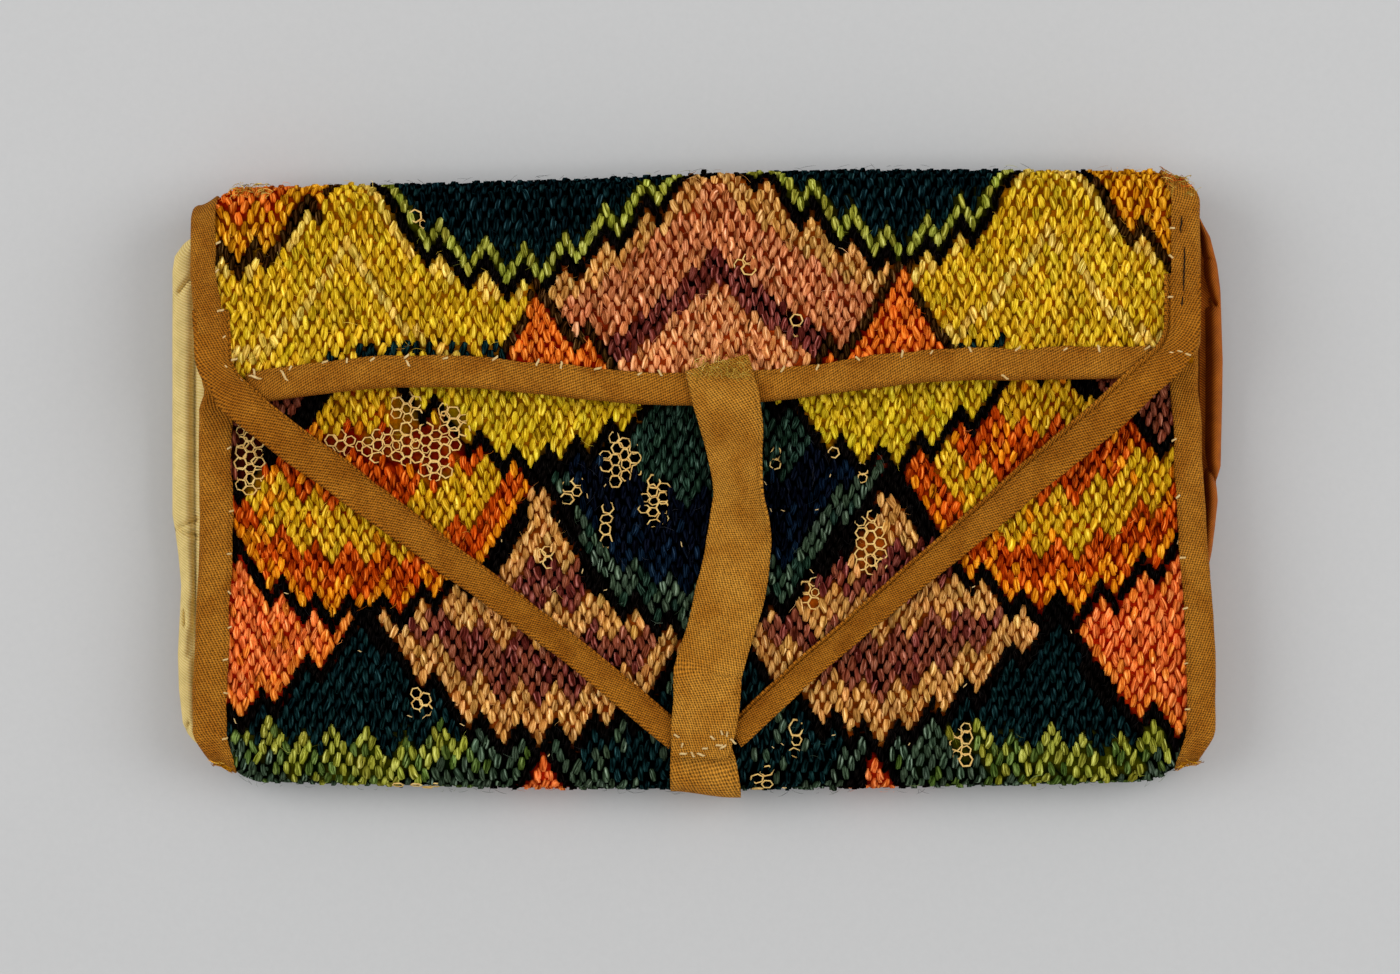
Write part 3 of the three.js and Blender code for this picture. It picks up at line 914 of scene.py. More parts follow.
def bare_spots(pixels, on_flap):
    """Middle across and along the strip, and half sizes, of each spot."""
    spots = []
    for px, py, rx, ry in pixels:
        x, y = from_photo(px, py)
        y -= leaning(x, y)
        along = along_flap(y) if on_flap else mouth_line - y
        spots.append((x, along, rx * photo_scale, ry * photo_scale))
    return spots


spots = bare_spots(bare_front, False) + bare_spots(bare_flap, True)


def is_bare(x, along, chosen=spots):
    bare = np.zeros(len(x), dtype=bool)
    for spot_x, spot_along, rx, ry in chosen:
        bare |= ((x - spot_x) / rx) ** 2 + ((along - spot_along) / ry) ** 2 < 1
    return bare


print(len(spots), "bare spots")

# %% Shade the canvas below the wool


def shade_canvas():
    """Painted shadow: dark between stitches, since only shadow shows there; paler where the canvas lies
    open.
    """
    flat = np.array([tuple(loop.uv) for loop in canvas.data.uv_layers["weave"].data])
    corner = np.array([loop.vertex_index for loop in canvas.data.loops])
    across = np.zeros(len(canvas.data.vertices))
    along = np.zeros(len(canvas.data.vertices))
    across[corner] = flat[:, 0] - half_width
    along[corner] = flat[:, 1] / strip_length
    along *= np.array([flap_edge(x) for x in across])
    wools = stitch_colours(across, along, 3)
    open_canvas = is_bare(across, along, spots[:large_spots])[:, None]
    # painted shadow: the gaps take a darker, deeper colour of the wool above them
    gap_shadow = (0.3 + 0.8 * wools[:, 1:2]) * wools ** 2.2
    colours = np.where(open_canvas, 0.3 * wools ** 1.5, gap_shadow)
    shade = canvas.data.attributes.new("wool", "FLOAT_COLOR", "POINT")
    shade.data.foreach_set("color", np.c_[colours, np.ones(len(across))].ravel())
    return int(open_canvas.sum())


print("points of open canvas:", shade_canvas())

# %% [markdown]
# ## The stitches
# The wool has two plies, so a stitch is two soft strands that share a hole at each end and bow apart
# between: together they make a plump leaf. One strand is a low sphere of four sides, stretched and
# bent, which is enough because there are thousands. Its own map runs across it and along it, so
# that the fibres follow the yarn. Each stitch is turned to the surface it lies on, and hand work
# makes whole areas drift and lean together.

# %% Shape one strand
strand_width = 0.84
strand_length = 3.0
strand_height = 1.35
strand_bow = 0.24
strand_droop = 0.55
blunt = 1.22
blunt_length = 1.12
square = 1.36


def strand_template():
    bm = bead(4, 4)
    turn_all(bm, "Y", math.pi / 4)
    bmesh.ops.scale(bm, verts=bm.verts, vec=(square, 1, square))
    weave = bm.loops.layers.uv.new("weave")
    for face in bm.faces:
        for loop in face.loops:
            loop[weave].uv = loop.vert.co.xy
    for vert in bm.verts:
        if 0.3 < abs(vert.co.y) < 0.45:
            vert.co *= Vector((blunt, blunt_length, blunt))
        end = abs(vert.co.y) / 0.5
        vert.co.x += strand_bow / strand_width * (1 - end ** 3)
        vert.co.z -= strand_droop * end * end
    return link_mesh("strand_template", bm)


one_strand = strand_template()
print("one strand has", len(one_strand.data.polygons), "faces")

# %% Set the stitches column by column
side_margin = 3.4
flap_margin = 4.2
tail_centre = 1.5
tail_width = 11.8
tail_start = 7
tail_reach = 30
wool_level = 1.72
fold_sink = 0.2
stitch_tilt = 0.16
fold_crests = (front_run + math.pi * bottom_radius / 2, top_middle)


def stitch_grid():
    """Across, along and column number of every stitch, half-dropped from column to column."""
    first = math.ceil((-half_width + side_margin - scale_centre) / column)
    last = math.floor((half_width - side_margin - scale_centre) / column)
    grid = []
    for number in range(first, last + 1):
        x = scale_centre + number * column
        along = first_stitch + (number % 2) * half_stitch
        while along < flap_edge(x) - flap_margin:
            grid.append((x, along, number))
            along += 2 * half_stitch
    xs, alongs, numbers = np.array(grid).T
    return xs, alongs, numbers.astype(int)


grid_x, grid_along, grid_column = stitch_grid()
under_tail = np.abs(grid_x - tail_centre) < tail_width / 2 - 0.6
under_tail &= (grid_along > front_run - tail_start + 1.5) & (grid_along < back_start + tail_reach - 1.5)
worked = ~is_bare(grid_x, grid_along) & ~under_tail


def lay_stitches(name, low, high, seed):
    chance = np.random.default_rng(seed)
    chosen = worked & (grid_along >= low) & (grid_along < high)
    xs, alongs = grid_x[chosen], grid_along[chosen]
    wools = stitch_colours(xs, alongs, seed)
    copies = []
    for x, along, number, colour in zip(xs, alongs, grid_column[chosen], wools):
        lean_here = 0.08 * noise.noise((x / 20, along / 16, 5.5)) - 0.03 - 0.015 * x / 55
        tilt = lean_here + (stitch_tilt if number % 2 else -stitch_tilt) + chance.normal(0, 0.06)
        x += 0.3 * noise.noise((x / 17, along / 14, 2.2)) + chance.normal(0, 0.07)
        along += 0.5 * noise.noise((x / 12, along / 19, 8.4)) + chance.normal(0, 0.13)
        at_fold = max(hump(along, crest, 4) for crest in fold_crests)
        for half_turn in (0, math.pi):
            level = wool_level + chance.normal(0, 0.16) - fold_sink * at_fold
            spot = fold(x, along + chance.normal(0, 0.12), level)
            turn = surface_turn(x, along, level, tilt + half_turn + chance.normal(0, 0.1))
            long = chance.normal(strand_length, 0.2)
            tall = chance.normal(strand_height, 0.14) * (1 - 0.35 * at_fold)
            size = (chance.normal(strand_width, 0.12), long, tall)
            copies.append((spot, turn, size, (colour * chance.normal(1, 0.1)).clip(0, 1)))
    return scatter(name, one_strand, copies, wool_yarn)


wool_pieces = [
    lay_stitches("front_wool_upper", 0, 47, 11),
    lay_stitches("front_wool_lower", 47, front_run, 12),
    lay_stitches("bottom_fold_wool", front_run, back_start, 13),
    lay_stitches("back_wool_lower", back_start, 150, 14),
    lay_stitches("back_wool_upper", 150, top_start, 15),
    lay_stitches("top_fold_wool", top_start, flap_start, 16),
    lay_stitches("flap_wool", flap_start, 400, 17),
]
bpy.data.objects.remove(one_strand)
print("stitches worked:", int(worked.sum()), "in", [piece.name for piece in wool_pieces])

# %% [markdown]
# ## The bare canvas net
# Where the wool is gone, the canvas threads that it had pushed apart lie as a net of small oval
# rings. A ring is a small circle spun round an axis, with few sides because it repeats, and the
# rings stand half-dropped so that each touches six others.

# %% Spin one ring and set it on the bare spots
ring_across = 1.72
ring_along = 1.95
ring_radius = 1.06
ring_thread = 0.155


def ring_template():
    bm = bmesh.new()
    bmesh.ops.create_circle(bm, segments=4, radius=ring_thread)
    turn_all(bm, "X", math.pi / 2)
    bmesh.ops.translate(bm, verts=bm.verts, vec=(ring_radius, 0, 0))
    bmesh.ops.spin(bm, geom=bm.verts[:] + bm.edges[:], cent=(0, 0, 0), axis=(0, 0, 1),
                   angle=2 * math.pi, steps=6, use_merge=True)
    bmesh.ops.remove_doubles(bm, verts=bm.verts, dist=0.001)
    bmesh.ops.recalc_face_normals(bm, faces=bm.faces)
    return link_mesh("ring_template", bm)


def ring_grid():
    """Across and along of every ring that fits a bare spot."""
    grid = []
    for number in range(int(strip_width / ring_across)):
        for step in range(int(strip_length / ring_along)):
            grid.append((number * ring_across - half_width, (step + (number % 2) / 2) * ring_along))
    grid = np.array(grid)
    return grid[is_bare(grid[:, 0], grid[:, 1])]


def lay_rings():
    chance = np.random.default_rng(21)
    ring = ring_template()
    copies = []
    for x, along in ring_grid():
        x += chance.normal(0, 0.13)
        along += chance.normal(0, 0.13)
        level = chance.uniform(1.75, 2.0)
        tip = chance.normal(0, 0.1)
        tilt = chance.normal(0.05, 0.22)
        size = (chance.normal(1, 0.16), chance.normal(1, 0.16), 1)
        copies.append(laid(x, along, level, tilt, size, tip=tip))
    print(len(copies), "rings of bare canvas")
    piece = scatter("bare_canvas_net", ring, copies, bare_linen)
    bpy.data.objects.remove(ring)
    return piece


net = lay_rings()

# %% [markdown]
# ## Tape bindings
# Woven tape is folded over every raw edge and whipped down on both faces. The grid is laid across a
# section that runs down one face, round the edge and up the other, so the tape's fold is a real
# one, and a little waviness keeps it hand-sewn.

# %% Fold tape over the edges
outer_level = leg_over - tape_thick / 2
inner_level = leg_under + tape_thick / 2
fold_reach = 1.4 * (sewn + tape_thick / 2)
fold_arc = 4.6
outer_leg = 5
edge_press = 0.22
binding_flat = outer_leg + fold_arc + bind_width


def over_edge(a, leg):
    """How far past the edge, and how far off the canvas, a tape folded over it lies."""
    run = a * binding_flat
    if run < outer_leg:
        t = run / outer_leg
        return leg * (t - 1), outer_level - edge_press * (1 - t) ** 3
    if run < outer_leg + fold_arc:
        turn = math.pi * (run - outer_leg) / fold_arc
        middle = (outer_level + inner_level) / 2
        half = (outer_level - inner_level) / 2
        return fold_reach * math.sin(turn), middle + half * math.cos(turn)
    return outer_leg + fold_arc - run, inner_level


def wander(value, seed, size):
    return size * noise.noise((value / 9, seed, 0)) + 0.4 * size * noise.noise((value / 3.1, seed, 4))


def binding(name, grid, length, place, node):
    return sheet(name, grid, (binding_flat, length), place, tape_thick, binding_tape,
                 node)


def side_binding(name, side, front_leg, top_leg, flap_leg):
    """The tape down one side; the width of its visible leg changes from front to flap."""
    end = flap_edge(side * half_width)

    def place(a, b):
        along = b * end
        leg_there = top_leg + (flap_leg - top_leg) * ease(along, flap_start, flap_start + 18)
        leg = front_leg + (leg_there - front_leg) * ease(along, back_start, flap_start)
        past, off = over_edge(a, leg + wander(along, side, 0.4))
        rounded = 2.4 * ease(along, end - 4.5, end) ** 2
        x = side * (half_width + past - rounded + wander(along, side + 3, 0.2))
        return fold(x, along, off + wander(along, side + 7, 0.14))

    return binding(name, (24, 200), end, place, name.replace("binding", "side_tape"))


def flap_binding():
    half = half_width - 8

    def place(a, b):
        x = (2 * b - 1) * half
        past, off = over_edge(a, 4.6 + wander(x, 11, 0.5))
        return fold(x, flap_edge(x) + past + wander(x, 13, 0.2), off + wander(x, 17, 0.14))

    return binding("flap_binding", (24, 150), 2 * half, place, "flap_edge_tape")


def mouth_binding():
    half = half_width - bind_width - sewn

    def place(a, b):
        x = (1 - 2 * b) * half
        past, off = over_edge(a, 5 + wander(x, 31, 0.3))
        return fold(x, -past, off)

    return binding("mouth_binding", (20, 90), 2 * half, place, "mouth_tape")


bindings = [
    side_binding("left_binding", -1, 5.2, 3.4, 4.3),
    side_binding("right_binding", 1, 4.1, 4.3, 4.3),
    flap_binding(),
    mouth_binding(),
]
print("bindings:", [piece.name for piece in bindings])

# %% [markdown]
# ## The bridle
# Two straps of tape, folded in half along their length, run from the flap's corners to the middle of
# the lower edge. A wider tape hangs from the flap's middle over their ends, and a short one passes
# round the bottom fold to hold them. All but the short one follow a path in the air, so each is a
# ribbon carried along that path, with a section of its own.

# %% Carry a ribbon along a path
strap_width = 6
strap_thick = 0.5
strap_fold = 0.4
strap_start_inset = 2.4
strap_start_drop = 13
strap_end_spread = 5.1
strap_end_rise = 4.3
strap_bend = 5
closing_width = 12.7
closing_lap = 5.6
closing_end_rise = 0.6
closing_shift = 2
closing_sway = 5.2
closing_twist = 0.5
closing_stations = [0, 0.1, 0.17, 0.22, 0.284, 0.347, 0.461, 0.6, 0.75, 0.93, 1]
closing_widths = [0.92, 0.95, 0.88, 0.81, 0.78, 0.79, 0.93, 1, 0.95, 0.93, 0.82]


def on_flap(x, y):
    return flap_level + swell(x, y) + leg_over


def on_front(x, y):
    return front_level + swell(x, y) + wool_top


def on_tail(x, y):
    return front_level + swell(x, y) + leg_over


def step_down(high, low, y, length):
    """The height of a tape that leaves the flap's edge and comes down to the front."""
    return high + (low - high) * ease(flap_line - 1 - y, 0, length)


def ribbon_place(path, section):
    """Lays a section, given as across and up, along a path that gives a spot and a twist."""
    def place(a, b):
        spot, twist = path(b)
        ahead = path(min(1, b + 0.01))[0] - path(max(0, b - 0.01))[0]
        across = ahead.cross(UP).normalized()
        normal = across.cross(ahead).normalized()
        turn = Quaternion(ahead.normalized(), twist)
        sideways, up = section(a, b)
        return at(*(spot + (turn @ across) * sideways + (turn @ normal) * up))
    return place


def round_corner(start, corner, end, run):
    """A point that far along two straight lines whose corner is rounded."""
    first = (corner - start).length
    into = (corner - start).normalized()
    away = (end - corner).normalized()
    if run < first - strap_bend:
        return start + into * run
    if run > first + strap_bend:
        return corner + away * (run - first)
    t = (run - first + strap_bend) / (2 * strap_bend)
    low = corner - into * strap_bend
    high = corner + away * strap_bend
    return low * (1 - t) ** 2 + corner * 2 * t * (1 - t) + high * t * t


def strap(name, side, rise, step):
    """The side tape goes on as a strap: it comes down the flap's side and turns at the corner."""
    corner = Vector((side * (half_width - strap_start_inset), flap_line + rise))
    start = corner + Vector((0, strap_start_drop))
    end = Vector((tail_centre + side * strap_end_spread, bottom_line + strap_end_rise))
    length = (corner - start).length + (end - corner).length

    def path(t):
        run = t * length
        x, y = round_corner(start, corner, end, run)
        high = on_flap(x, y) - 1.3 * (1 - ease(run, 2, 13))
        low = on_front(x, y) + sewn + (leg_over - wool_top) * ease(t, 0.78, 0.9)
        return Vector((x, y, step_down(high, low, y, 15))), 0

    def section(a, b):
        """Folded in half and narrowing: the upper layer stops short of the lower one's edge."""
        wobble = wander(b * length, 40 + side, 0.25)
        thin = 1.04 - 0.34 * ease(b, 0.2, 0.9)
        run = a * (2 * strap_width - step)
        upper = strap_width - step
        if run < upper:
            return side * thin * (strap_width / 2 - step - run) + wobble, 0.85
        if run < upper + strap_fold:
            turn = math.pi * (run - upper) / strap_fold
            edge = side * (-thin * strap_width / 2 - 0.25 * math.sin(turn))
            return edge + wobble, 0.55 + 0.3 * math.cos(turn)
        t = (run - upper - strap_fold) / (strap_width - strap_fold)
        return side * thin * (t - 0.5) * strap_width + wobble, 0.25 + 0.4 * max(0, t - 0.9) / 0.1

    return sheet(name, (26, 110), (2 * strap_width, length), ribbon_place(path, section), strap_thick,
                 strap_tape, name.replace("strap", "side_tape"))


bridle = [strap("left_strap", -1, 3.4, 0.3), strap("right_strap", 1, 7.4, 0.9)]
print("straps:", [piece.name for piece in bridle])

# %% The closing tape and the tail


def closing_tape():
    top = flap_line + closing_lap
    foot = bottom_line + closing_end_rise
    straps_top = bottom_line + strap_end_rise + strap_width
    length = top - foot + 6

    def path(t):
        y = top + (foot - top) * t
        x = tail_centre + closing_shift * (1 - t) + closing_sway * math.sin(math.pi * min(1, 1.25 * t))
        x -= 0.9 * ease(t, 0.85, 1)
        twist = closing_twist * hump(t, 0.32, 0.1)
        on_wool = on_front(x, y) + sewn + 0.4 * closing_width * math.sin(twist)
        on_straps = on_tail(x, y) + 2 * sewn + 2 * tape_thick
        low = on_wool + (on_straps - on_wool) * ease(straps_top + 12 - y, 0, 12)
        return Vector((x, y, step_down(on_flap(x, y) + sewn, low, y, 10))), twist

    def section(a, b):
        squeeze = np.interp(b, closing_stations, closing_widths)
        cup = (0.3 + 2.4 * (1 - squeeze)) * (2 * a - 1) ** 2 * math.sin(math.pi * b)
        return (a - 0.5) * closing_width * squeeze + wander(b * 60, 60 + a, 0.25), tape_thick / 2 + cup

    return sheet("closing_tape_band", (20, 100), (closing_width, length), ribbon_place(path, section),
                 tape_thick, closing_tape_cloth, "closing_tape")


def tail_tape():
    length = math.pi * bottom_radius + tail_start + tail_reach

    def place(a, b):
        run = b * length
        spread = ease(run, 1, 11)
        wide = tail_width - 1.4 + 2.4 * spread
        x = tail_centre - 0.9 * (1 - spread) + (0.5 - a) * wide + wander(run, 70, 0.2)
        loose = (0.3 - 1.2 * ease(a, 0.1, 1) * ease(run, 4, 9)) * (1 - ease(run, 12, 20))
        return fold(x, front_run - tail_start + run, outer_level + loose)

    return sheet("tail_band", (12, 70), (tail_width, length), place, tape_thick, closing_tape_cloth,
                 "tail_tape")


bridle += [closing_tape(), tail_tape()]
print("bridle:", [piece.name for piece in bridle])

# %% [markdown]
# ## Silk gussets
# The pocket's sides are closed by strips of silk, sewn inside the bindings and bulging out between
# them. The left one is straw coloured, the right one rust. How far each bulges is measured down
# its length. Creases are lines across it, and near such a line the silk is drawn in.

# %% Bulge the gussets
gusset_lap = 4
gusset_over = 1.3
gusset_arc = 7.5
gusset_thick = 0.4
crease_width = 0.42
left_heights = [-49, -44.4, -38.1, -31.7, -23.9, -19.2, -13.6, -9.1, -6.3, 38.1, 40.8, 43, 44.2]
left_reaches = [91.2, 93.3, 94, 94.2, 93.8, 93.6, 94.1, 94.7, 95.2, 95.2, 94.8, 93.2, 91.5]
right_heights = [-49, -17.2, -12.9, -8.3, -3.8, -0.2, 2.5, 14.5, 21.9, 34.5, 39.2, 44.3, 47.9]
right_reaches = [91.5, 92.5, 93.4, 94, 94.5, 94.2, 95, 95.3, 95.4, 95, 94.4, 93.1, 91.1]
left_creases = [
    (-91.0, 38.5, -94.4, 34.4, 1.6), (-90.0, -6.7, -94.8, -8.8, 1.4), (-90.0, -10.6, -94.8, -8.8, 1.4),
    (-93.5, -23.8, -93.4, -26.5, 1.4), (-91.9, -22.0, -92.6, -32.0, 0.9),
    (-92.6, -44.3, -92.9, -45.2, 1.2),
]
right_creases = [
    (91.4, 39.4, 94.6, 32.0, 3.0), (91.2, 38.4, 93.8, 31.6, 3.0), (92.0, 6.0, 94.8, -0.6, 2.2),
    (91.8, 40.0, 93.4, 40.4, 1.2),
]


def crease_depth(x, y, creases):
    """How far the nearest crease draws the silk in at a place."""
    depth = 0.0
    for x0, y0, x1, y1, deep in creases:
        line = Vector((x1 - x0, y1 - y0))
        spot = Vector((x - x0, y - y0))
        t = min(1, max(0, spot.dot(line) / line.length_squared))
        depth = max(depth, deep * hump((spot - line * t).length, 0, crease_width))
    return depth


def gusset(name, side, heights, reaches, creases, dip, finish):
    """Silk that leaves the front, bulges past the side and comes back; dip is its deepest fold."""
    dip_depth, dip_turn, dip_width = dip
    neck = sewn + tape_thick
    half = bottom_radius + leg_under - sewn
    long = front_run + gusset_over
    legs = gusset_lap + neck
    width = 2 * legs + gusset_arc

    def place(a, b):
        run = np.interp(a, [0, 0.14, 0.86, 1], [0, legs, legs + gusset_arc, width])
        y = mouth_line + gusset_over - b * long
        seen_y = y + leaning(0.52 * side * strip_width, y)
        bulge = max(0.3, np.interp(seen_y, heights, reaches) - half_width - neck + 0.4)
        if run < legs:
            x, up = half_width + run - gusset_lap, half
        elif run < legs + gusset_arc:
            turn = math.pi * (run - legs) / gusset_arc
            x = half_width + neck + bulge * math.sin(turn) ** 0.8
            up = half * math.cos(turn) - dip_depth * hump(turn, dip_turn, dip_width)
        else:
            x, up = half_width + width - run - gusset_lap, -half
        x *= side
        soft = 0.25 * noise.noise((b * 12, up / 2, side))
        drawn = crease_depth(x, seen_y, creases) if a < 0.5 else 0
        lift = swell(side * half_width, y) * max(0, up / half)
        x += corner_drift(x, y) - drift(x, y)
        return at(x, y, back_level + bottom_radius + up * 0.92 + lift + soft - drawn)

    return sheet(name, (34, 200), (width, long), place, gusset_thick, finish, name.replace("_silk", ""))


gussets = [
    gusset("left_gusset_silk", -1, left_heights, left_reaches, left_creases, (1.3, 0.04, 0.1),
           straw_silk),
    gusset("right_gusset_silk", 1, right_heights, right_reaches, right_creases, (4.0, 0.18, 0.26),
           rust_silk),
]
print("gussets:", [piece.name for piece in gussets])

# %% [markdown]
# ## Sewing thread
# Cream thread whips the tape down. Each stitch is a short thick thread that crosses the tape's edge
# at a slant, every few millimetres, with a cluster wherever tapes meet. Ends of the same thread
# and of lost canvas are caught here and there in the dark wool.

# %% Whip the bindings down
whip_level = 3.0
flap_whip_level = 2.95
turn_level = 4.0
foot_level = 5.95
foot_lift = 2.2
end_level = 2.5
whip_thick = 0.52
end_thick = 0.22
front_seams = 38.0
turn_stitches = [
    (-84.5, 21.6, 1.3), (-86.0, 20.3, 1.1), (-83.4, 18.1, 1.2), (-80.7, 18.5, 2.6), (-74.4, 18.7, 2.6),
    (86.2, 23.2, 1.5), (87.7, 23.1, 1.7), (88.9, 22.8, 1.6), (55.0, 18.6, 1.6), (-52.0, 21.0, 1.4),
]
foot_stitches = [
    (677, 739, 1.2, 1.2), (684, 756, 1.7, 1.5), (692, 753, 1.3, 1.2), (700, 757, 1.6, 1.6),
    (705, 751, 1.9, 1.1), (712, 740, 0.4, 1.1), (718, 748, 1.5, 1.4), (726, 748, 1.8, 1.5),
    (733, 744, 1.2, 1.5), (728, 737, 0.3, 1.0), (722, 735, 1.4, 0.9), (681, 747, 0.2, 0.9),
]


def thread_template():
    bm = bead(6, 6)
    for vert in bm.verts:
        vert.co.x += 0.4 * math.sin(5 * vert.co.y)
        vert.co.z -= 1.2 * vert.co.y ** 2
    return link_mesh("thread_template", bm)


def side_seam(chance, x, start, end, slants, lengths, gaps):
    """Whip stitches down one edge of a side tape, at uneven distances."""
    seams = []
    while start < end:
        slant, long = -chance.uniform(*slants), chance.uniform(*lengths)
        seams.append((x, start, whip_level, slant, long))
        start += chance.uniform(*gaps)
    return seams


def edge_seams(chance):
    """Across, along, height, slant and length of each whip stitch on the tape edges."""
    seams = []
    for side, leg in ((-1, 4.9), (1, 3.9)):
        front_x, flap_x = side * (half_width - leg), side * (half_width - 4.1)
        flap_end = flap_edge(side * half_width) - 4
        seams += side_seam(chance, front_x, front_seams, front_run, (0.4, 1.1), (0.5, 1.2), (6, 12))
        seams += side_seam(chance, flap_x, flap_start + 3, flap_end, (0.4, 1.3), (0.6, 1.6), (4, 8))
    x = -half_width + 10
    while x < half_width - 8:
        slant, long = chance.uniform(-0.6, 0.9), chance.uniform(0.9, 1.7)
        seams.append((x, flap_edge(x) - 4.4, flap_whip_level, slant, long))
        x += chance.uniform(4, 9)
    return seams


def corner_seams(chance):
    """The clusters that hold the tape's turns, in millimetres, and its foot, in photograph pixels."""
    seams = []
    for x, y, long in turn_stitches:
        along = along_flap(y - leaning(x, y))
        seams.append((x, along, turn_level, chance.uniform(0.9, 2.2), long))
    for px, py, slant, long in foot_stitches:
        x, y = from_photo(px, py)
        seams.append((x, mouth_line - y - foot_lift, foot_level, slant, long))
    return seams


def loose_ends(chance):
    """Short ends caught in the dark wool of the front."""
    front = (grid_along > 42) & (grid_along < front_run + 5) & worked
    xs, alongs = grid_x[front], grid_along[front]
    dark = stitch_colours(xs, alongs, 12).sum(axis=1) < 0.05
    found = []
    for i in chance.choice(np.flatnonzero(dark), 34, replace=False):
        slant, long = chance.uniform(-1.5, 1.5), chance.uniform(0.5, 1.2)
        found.append((xs[i], alongs[i], end_level, slant, long))
    return found


def lay_threads(name, seams, thick, seed):
    chance = np.random.default_rng(seed)
    copies = []
    for x, along, level, slant, long in seams:
        x += chance.normal(0, 0.2)
        along += chance.normal(0, 0.2)
        copies.append(laid(x, along, level, slant + chance.normal(0, 0.35), (thick, long, 1.2 * thick)))
    return scatter(name, one_thread, copies, cream_thread)


one_thread = thread_template()
seam_chance = np.random.default_rng(33)
seams = edge_seams(seam_chance) + corner_seams(seam_chance)
threads = lay_threads("whip_stitches", seams, whip_thick, 35)
ends = lay_threads("loose_thread_ends", loose_ends(seam_chance), end_thick, 36)
print("whip stitches:", len(seams))

# %% [markdown]
# Short dark lines on the flap's right binding are painted shadow: each is the same thread again, very
# flat and near black, lying on the tape where only shadow shows.

# %% Lay painted shadow slits on the right binding
slits = [(88.0, 44.6, 3.2), (88.5, 36.6, 8.8), (88.1, 30.6, 2.6), (87.8, 25.6, 3.2)]
slit_level = 3.2
slit_width = 0.32
slit_height = 0.18


def lay_slits(name):
    """Slits written as across, up the front, and length."""
    painted_slit_shadow, _, shader = new_finish("painted_slit_shadow", 1.0)
    # painted shadow: near black, for the shade along each slit
    shader["Base Color"].default_value = (0.012, 0.005, 0.001, 1)
    copies = []
    for x, y, long in slits:
        copies.append(laid(x, along_flap(y), slit_level, 0, (slit_width, long, slit_height)))
    return scatter(name, one_thread, copies, painted_slit_shadow)


painted_slits = lay_slits("worn_slits")
bpy.data.objects.remove(one_thread)
print("worn slits:", len(slits))

# %% [markdown]
# ## Fuzz and frayed ends
# Old wool sheds fine hairs, most visible where the folds meet the floor's pale grey, and cut tape
# frays. One curved hair with three sides is set in all these places, in the colour of its wool.
# Each row gives the stretch across and along the strip, the height, and how many hairs it holds.

# %% Set the hairs
tape_end = along_flap(flap_line) - closing_lap
wool_hairs = [
    (-86, 86, 30, front_run, 2.3, 900),
    (-86, 86, flap_start, flap_start + 24, 2.3, 500),
    (-86, 86, front_run + 2, front_run + 9, 2.5, 120),
    (-84, 86, top_middle - 4, top_middle + 5, 2.5, 90),
    (-86, 86, back_start, top_start, 2.3, 400),
]
tape_hairs = [
    (-1, 9.5, tape_end - 0.9, tape_end + 3, 4.6, 160, "buff"),
    (86, 91.5, top_middle + 1, top_middle + 7, 2.9, 60, "buff"),
    (86, 91, top_middle + 1, top_middle + 6, 2.9, 36, "orange"),
    (-84, -77, top_middle + 1, top_middle + 5, 2.1, 70, "buff"),
    (-91, -86, front_run + 2, front_run + 7, 3.0, 80, "gold"),
    (87, 92, front_run + 2, front_run + 7, 3.0, 80, "gold"),
]


def hair_template():
    bm = bead(3, 5)
    for vert in bm.verts:
        t = vert.co.y
        vert.co.x += 6 * math.sin(3.4 * t + 0.6)
        vert.co.z += 4 * math.cos(2.6 * t)
    return link_mesh("hair_template", bm)


def one_hair(chance, x, along, level, colour, long, thick):
    tip = chance.uniform(0, 0.5)
    return laid(x, along, level, chance.uniform(-math.pi, math.pi), (thick, long, thick), colour, tip)


def lay_hairs(name):
    chance = np.random.default_rng(51)
    hair = hair_template()
    copies = []
    for left, right, low, high, level, number in wool_hairs:
        xs = chance.uniform(left, right, number)
        alongs = chance.uniform(low, high, number)
        for x, along, colour in zip(xs, alongs, stitch_colours(xs, alongs, number)):
            colour = (colour * 1.1 + 0.01).clip(0, 1)
            long, thick = chance.uniform(1.2, 3.2), chance.uniform(0.04, 0.08)
            copies.append(one_hair(chance, x, along, level, colour, long, thick))
    for left, right, low, high, level, number, shade in tape_hairs:
        for _ in range(number):
            colour = shades[shade] * chance.uniform(0.6, 1.1)
            x, along = chance.uniform(left, right), chance.uniform(low, high)
            long, thick = chance.uniform(0.4, 1.0), chance.uniform(0.1, 0.18)
            copies.append(one_hair(chance, x, along, level, colour, long, thick))
    print("hairs:", len(copies))
    piece = scatter(name, hair, copies, wool_yarn)
    bpy.data.objects.remove(hair)
    return piece


fuzz = lay_hairs("wool_fuzz")

# %% [markdown]
# ## Floor, light and camera
# The pocketbook lies on a plain pale grey surface and is seen from straight above. Two broad lamps
# and an even sky light it softly, at a level where a colour renders about as it is written.

# %% Build the stage
floor_half = 3
floor_drop = 0.4
lamp_size = 0.8
lamp_power = 5.2
sky_strength = 0.52
floor_greys = [(0.2, (0.555, 0.558, 0.56)), (0.8, (0.575, 0.577, 0.578))]


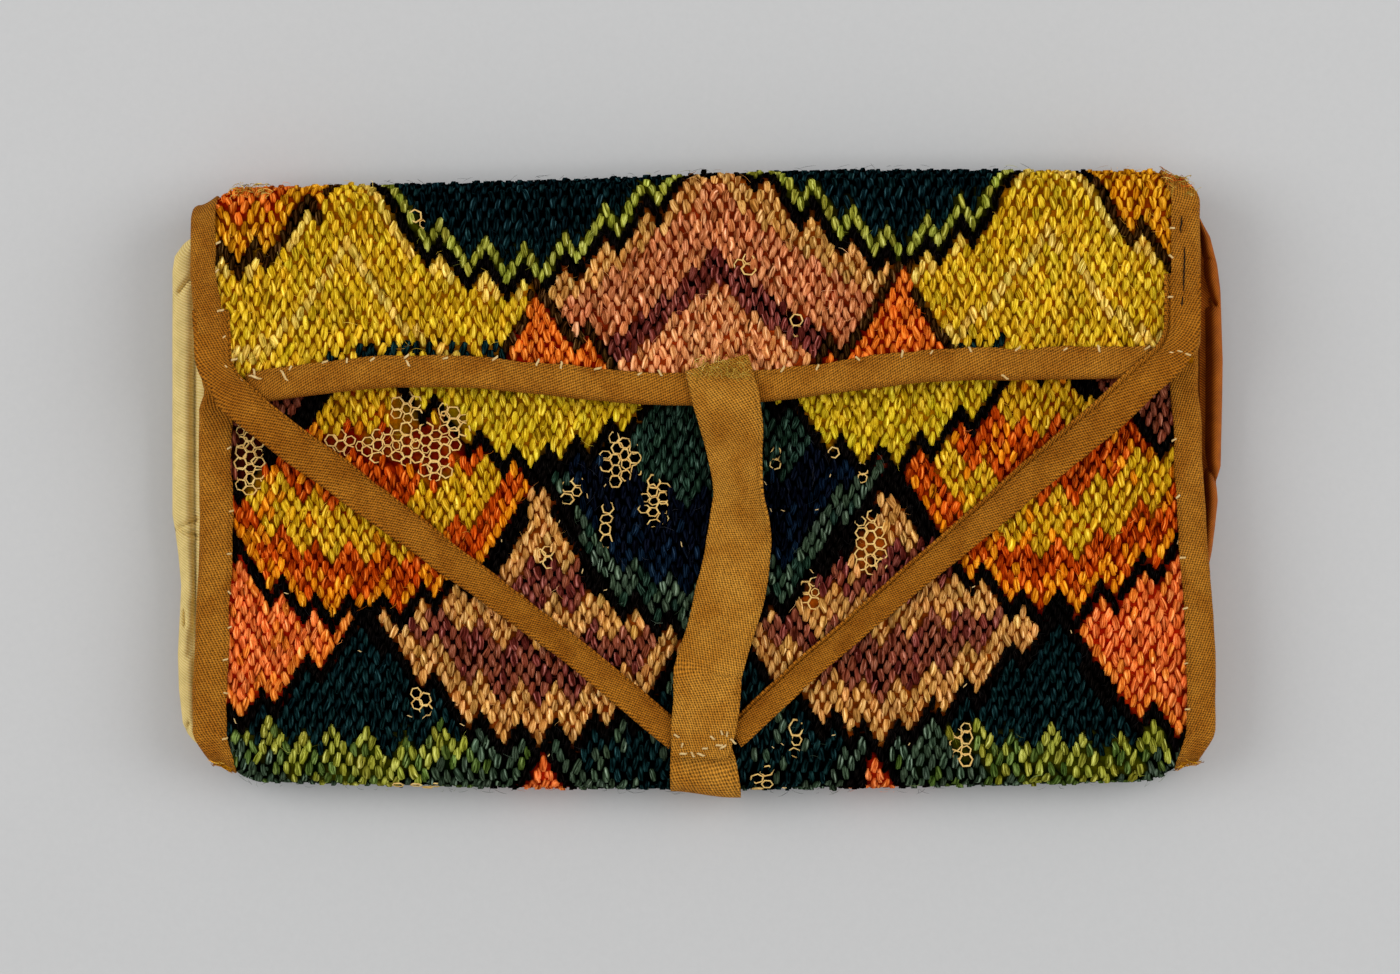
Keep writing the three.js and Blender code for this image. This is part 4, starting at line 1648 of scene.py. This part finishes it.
def lay_floor():
    bm = bmesh.new()
    bmesh.ops.create_grid(bm, x_segments=2, y_segments=2, size=floor_half)
    bmesh.ops.translate(bm, verts=bm.verts, vec=(0, 0, -floor_drop * MM))
    floor = link_mesh("floor", bm)
    pale_floor, tree, shader = new_finish("pale_floor", 0.9)
    grain = fibre_in_space(tree, 900.0, 0.04)
    tree.links.new(colour_ramp(tree, grain["Height"], floor_greys), shader["Base Color"])
    floor.data.materials.append(pale_floor)


def lamp(name, spot):
    """A broad lamp that looks at the middle of the frame."""
    light = bpy.data.lights.new(name, "AREA")
    light.size = lamp_size
    light.energy = lamp_power
    holder = bpy.data.objects.new(name, light)
    holder.location = spot
    holder.rotation_euler = (-Vector(spot)).to_track_quat("-Z", "Y").to_euler()
    bpy.context.collection.objects.link(holder)


lay_floor()
lamp("left_lamp", (-0.8, 0.15, 0.8))
lamp("right_lamp", (0.8, 0.15, 0.8))
sky = bpy.data.worlds.new("even_sky")
sky.use_nodes = True
sky.node_tree.nodes["Background"].inputs["Color"].default_value = (1, 1, 1, 1)
sky.node_tree.nodes["Background"].inputs["Strength"].default_value = sky_strength
bpy.context.scene.world = sky
bpy.context.scene.view_settings.view_transform = "Standard"
print("floor, two lamps and sky")

# %% Set the camera over it
photo_size = (1400, 974)
camera_height = 0.95
front_height = 0.013
sensor_width = 36
view_width = photo_size[0] * photo_scale * MM
look_x, look_y = from_photo(photo_size[0] / 2, photo_size[1] / 2)
lens = bpy.data.cameras.new("camera")
lens.sensor_fit = "HORIZONTAL"
lens.sensor_width = sensor_width
lens.lens = sensor_width * camera_height / view_width
camera = bpy.data.objects.new("camera", lens)
camera.location = ((look_x + shift_x) * MM, (look_y + shift_y) * MM, camera_height + front_height)
bpy.context.collection.objects.link(camera)
bpy.context.scene.camera = camera
print(f"lens {lens.lens:.0f} mm, view {view_width / MM:.0f} mm wide")

# %% Measure and finish
depsgraph = bpy.context.evaluated_depsgraph_get()
triangles = {}
for piece in bpy.context.scene.objects:
    if piece.type == "MESH" and not piece.hide_render:
        mesh = piece.evaluated_get(depsgraph).to_mesh()
        mesh.calc_loop_triangles()
        triangles[piece.name] = len(mesh.loop_triangles)
most = max(triangles, key=triangles.get)
print("triangles:", sum(triangles.values()), "most in", most, triangles[most])
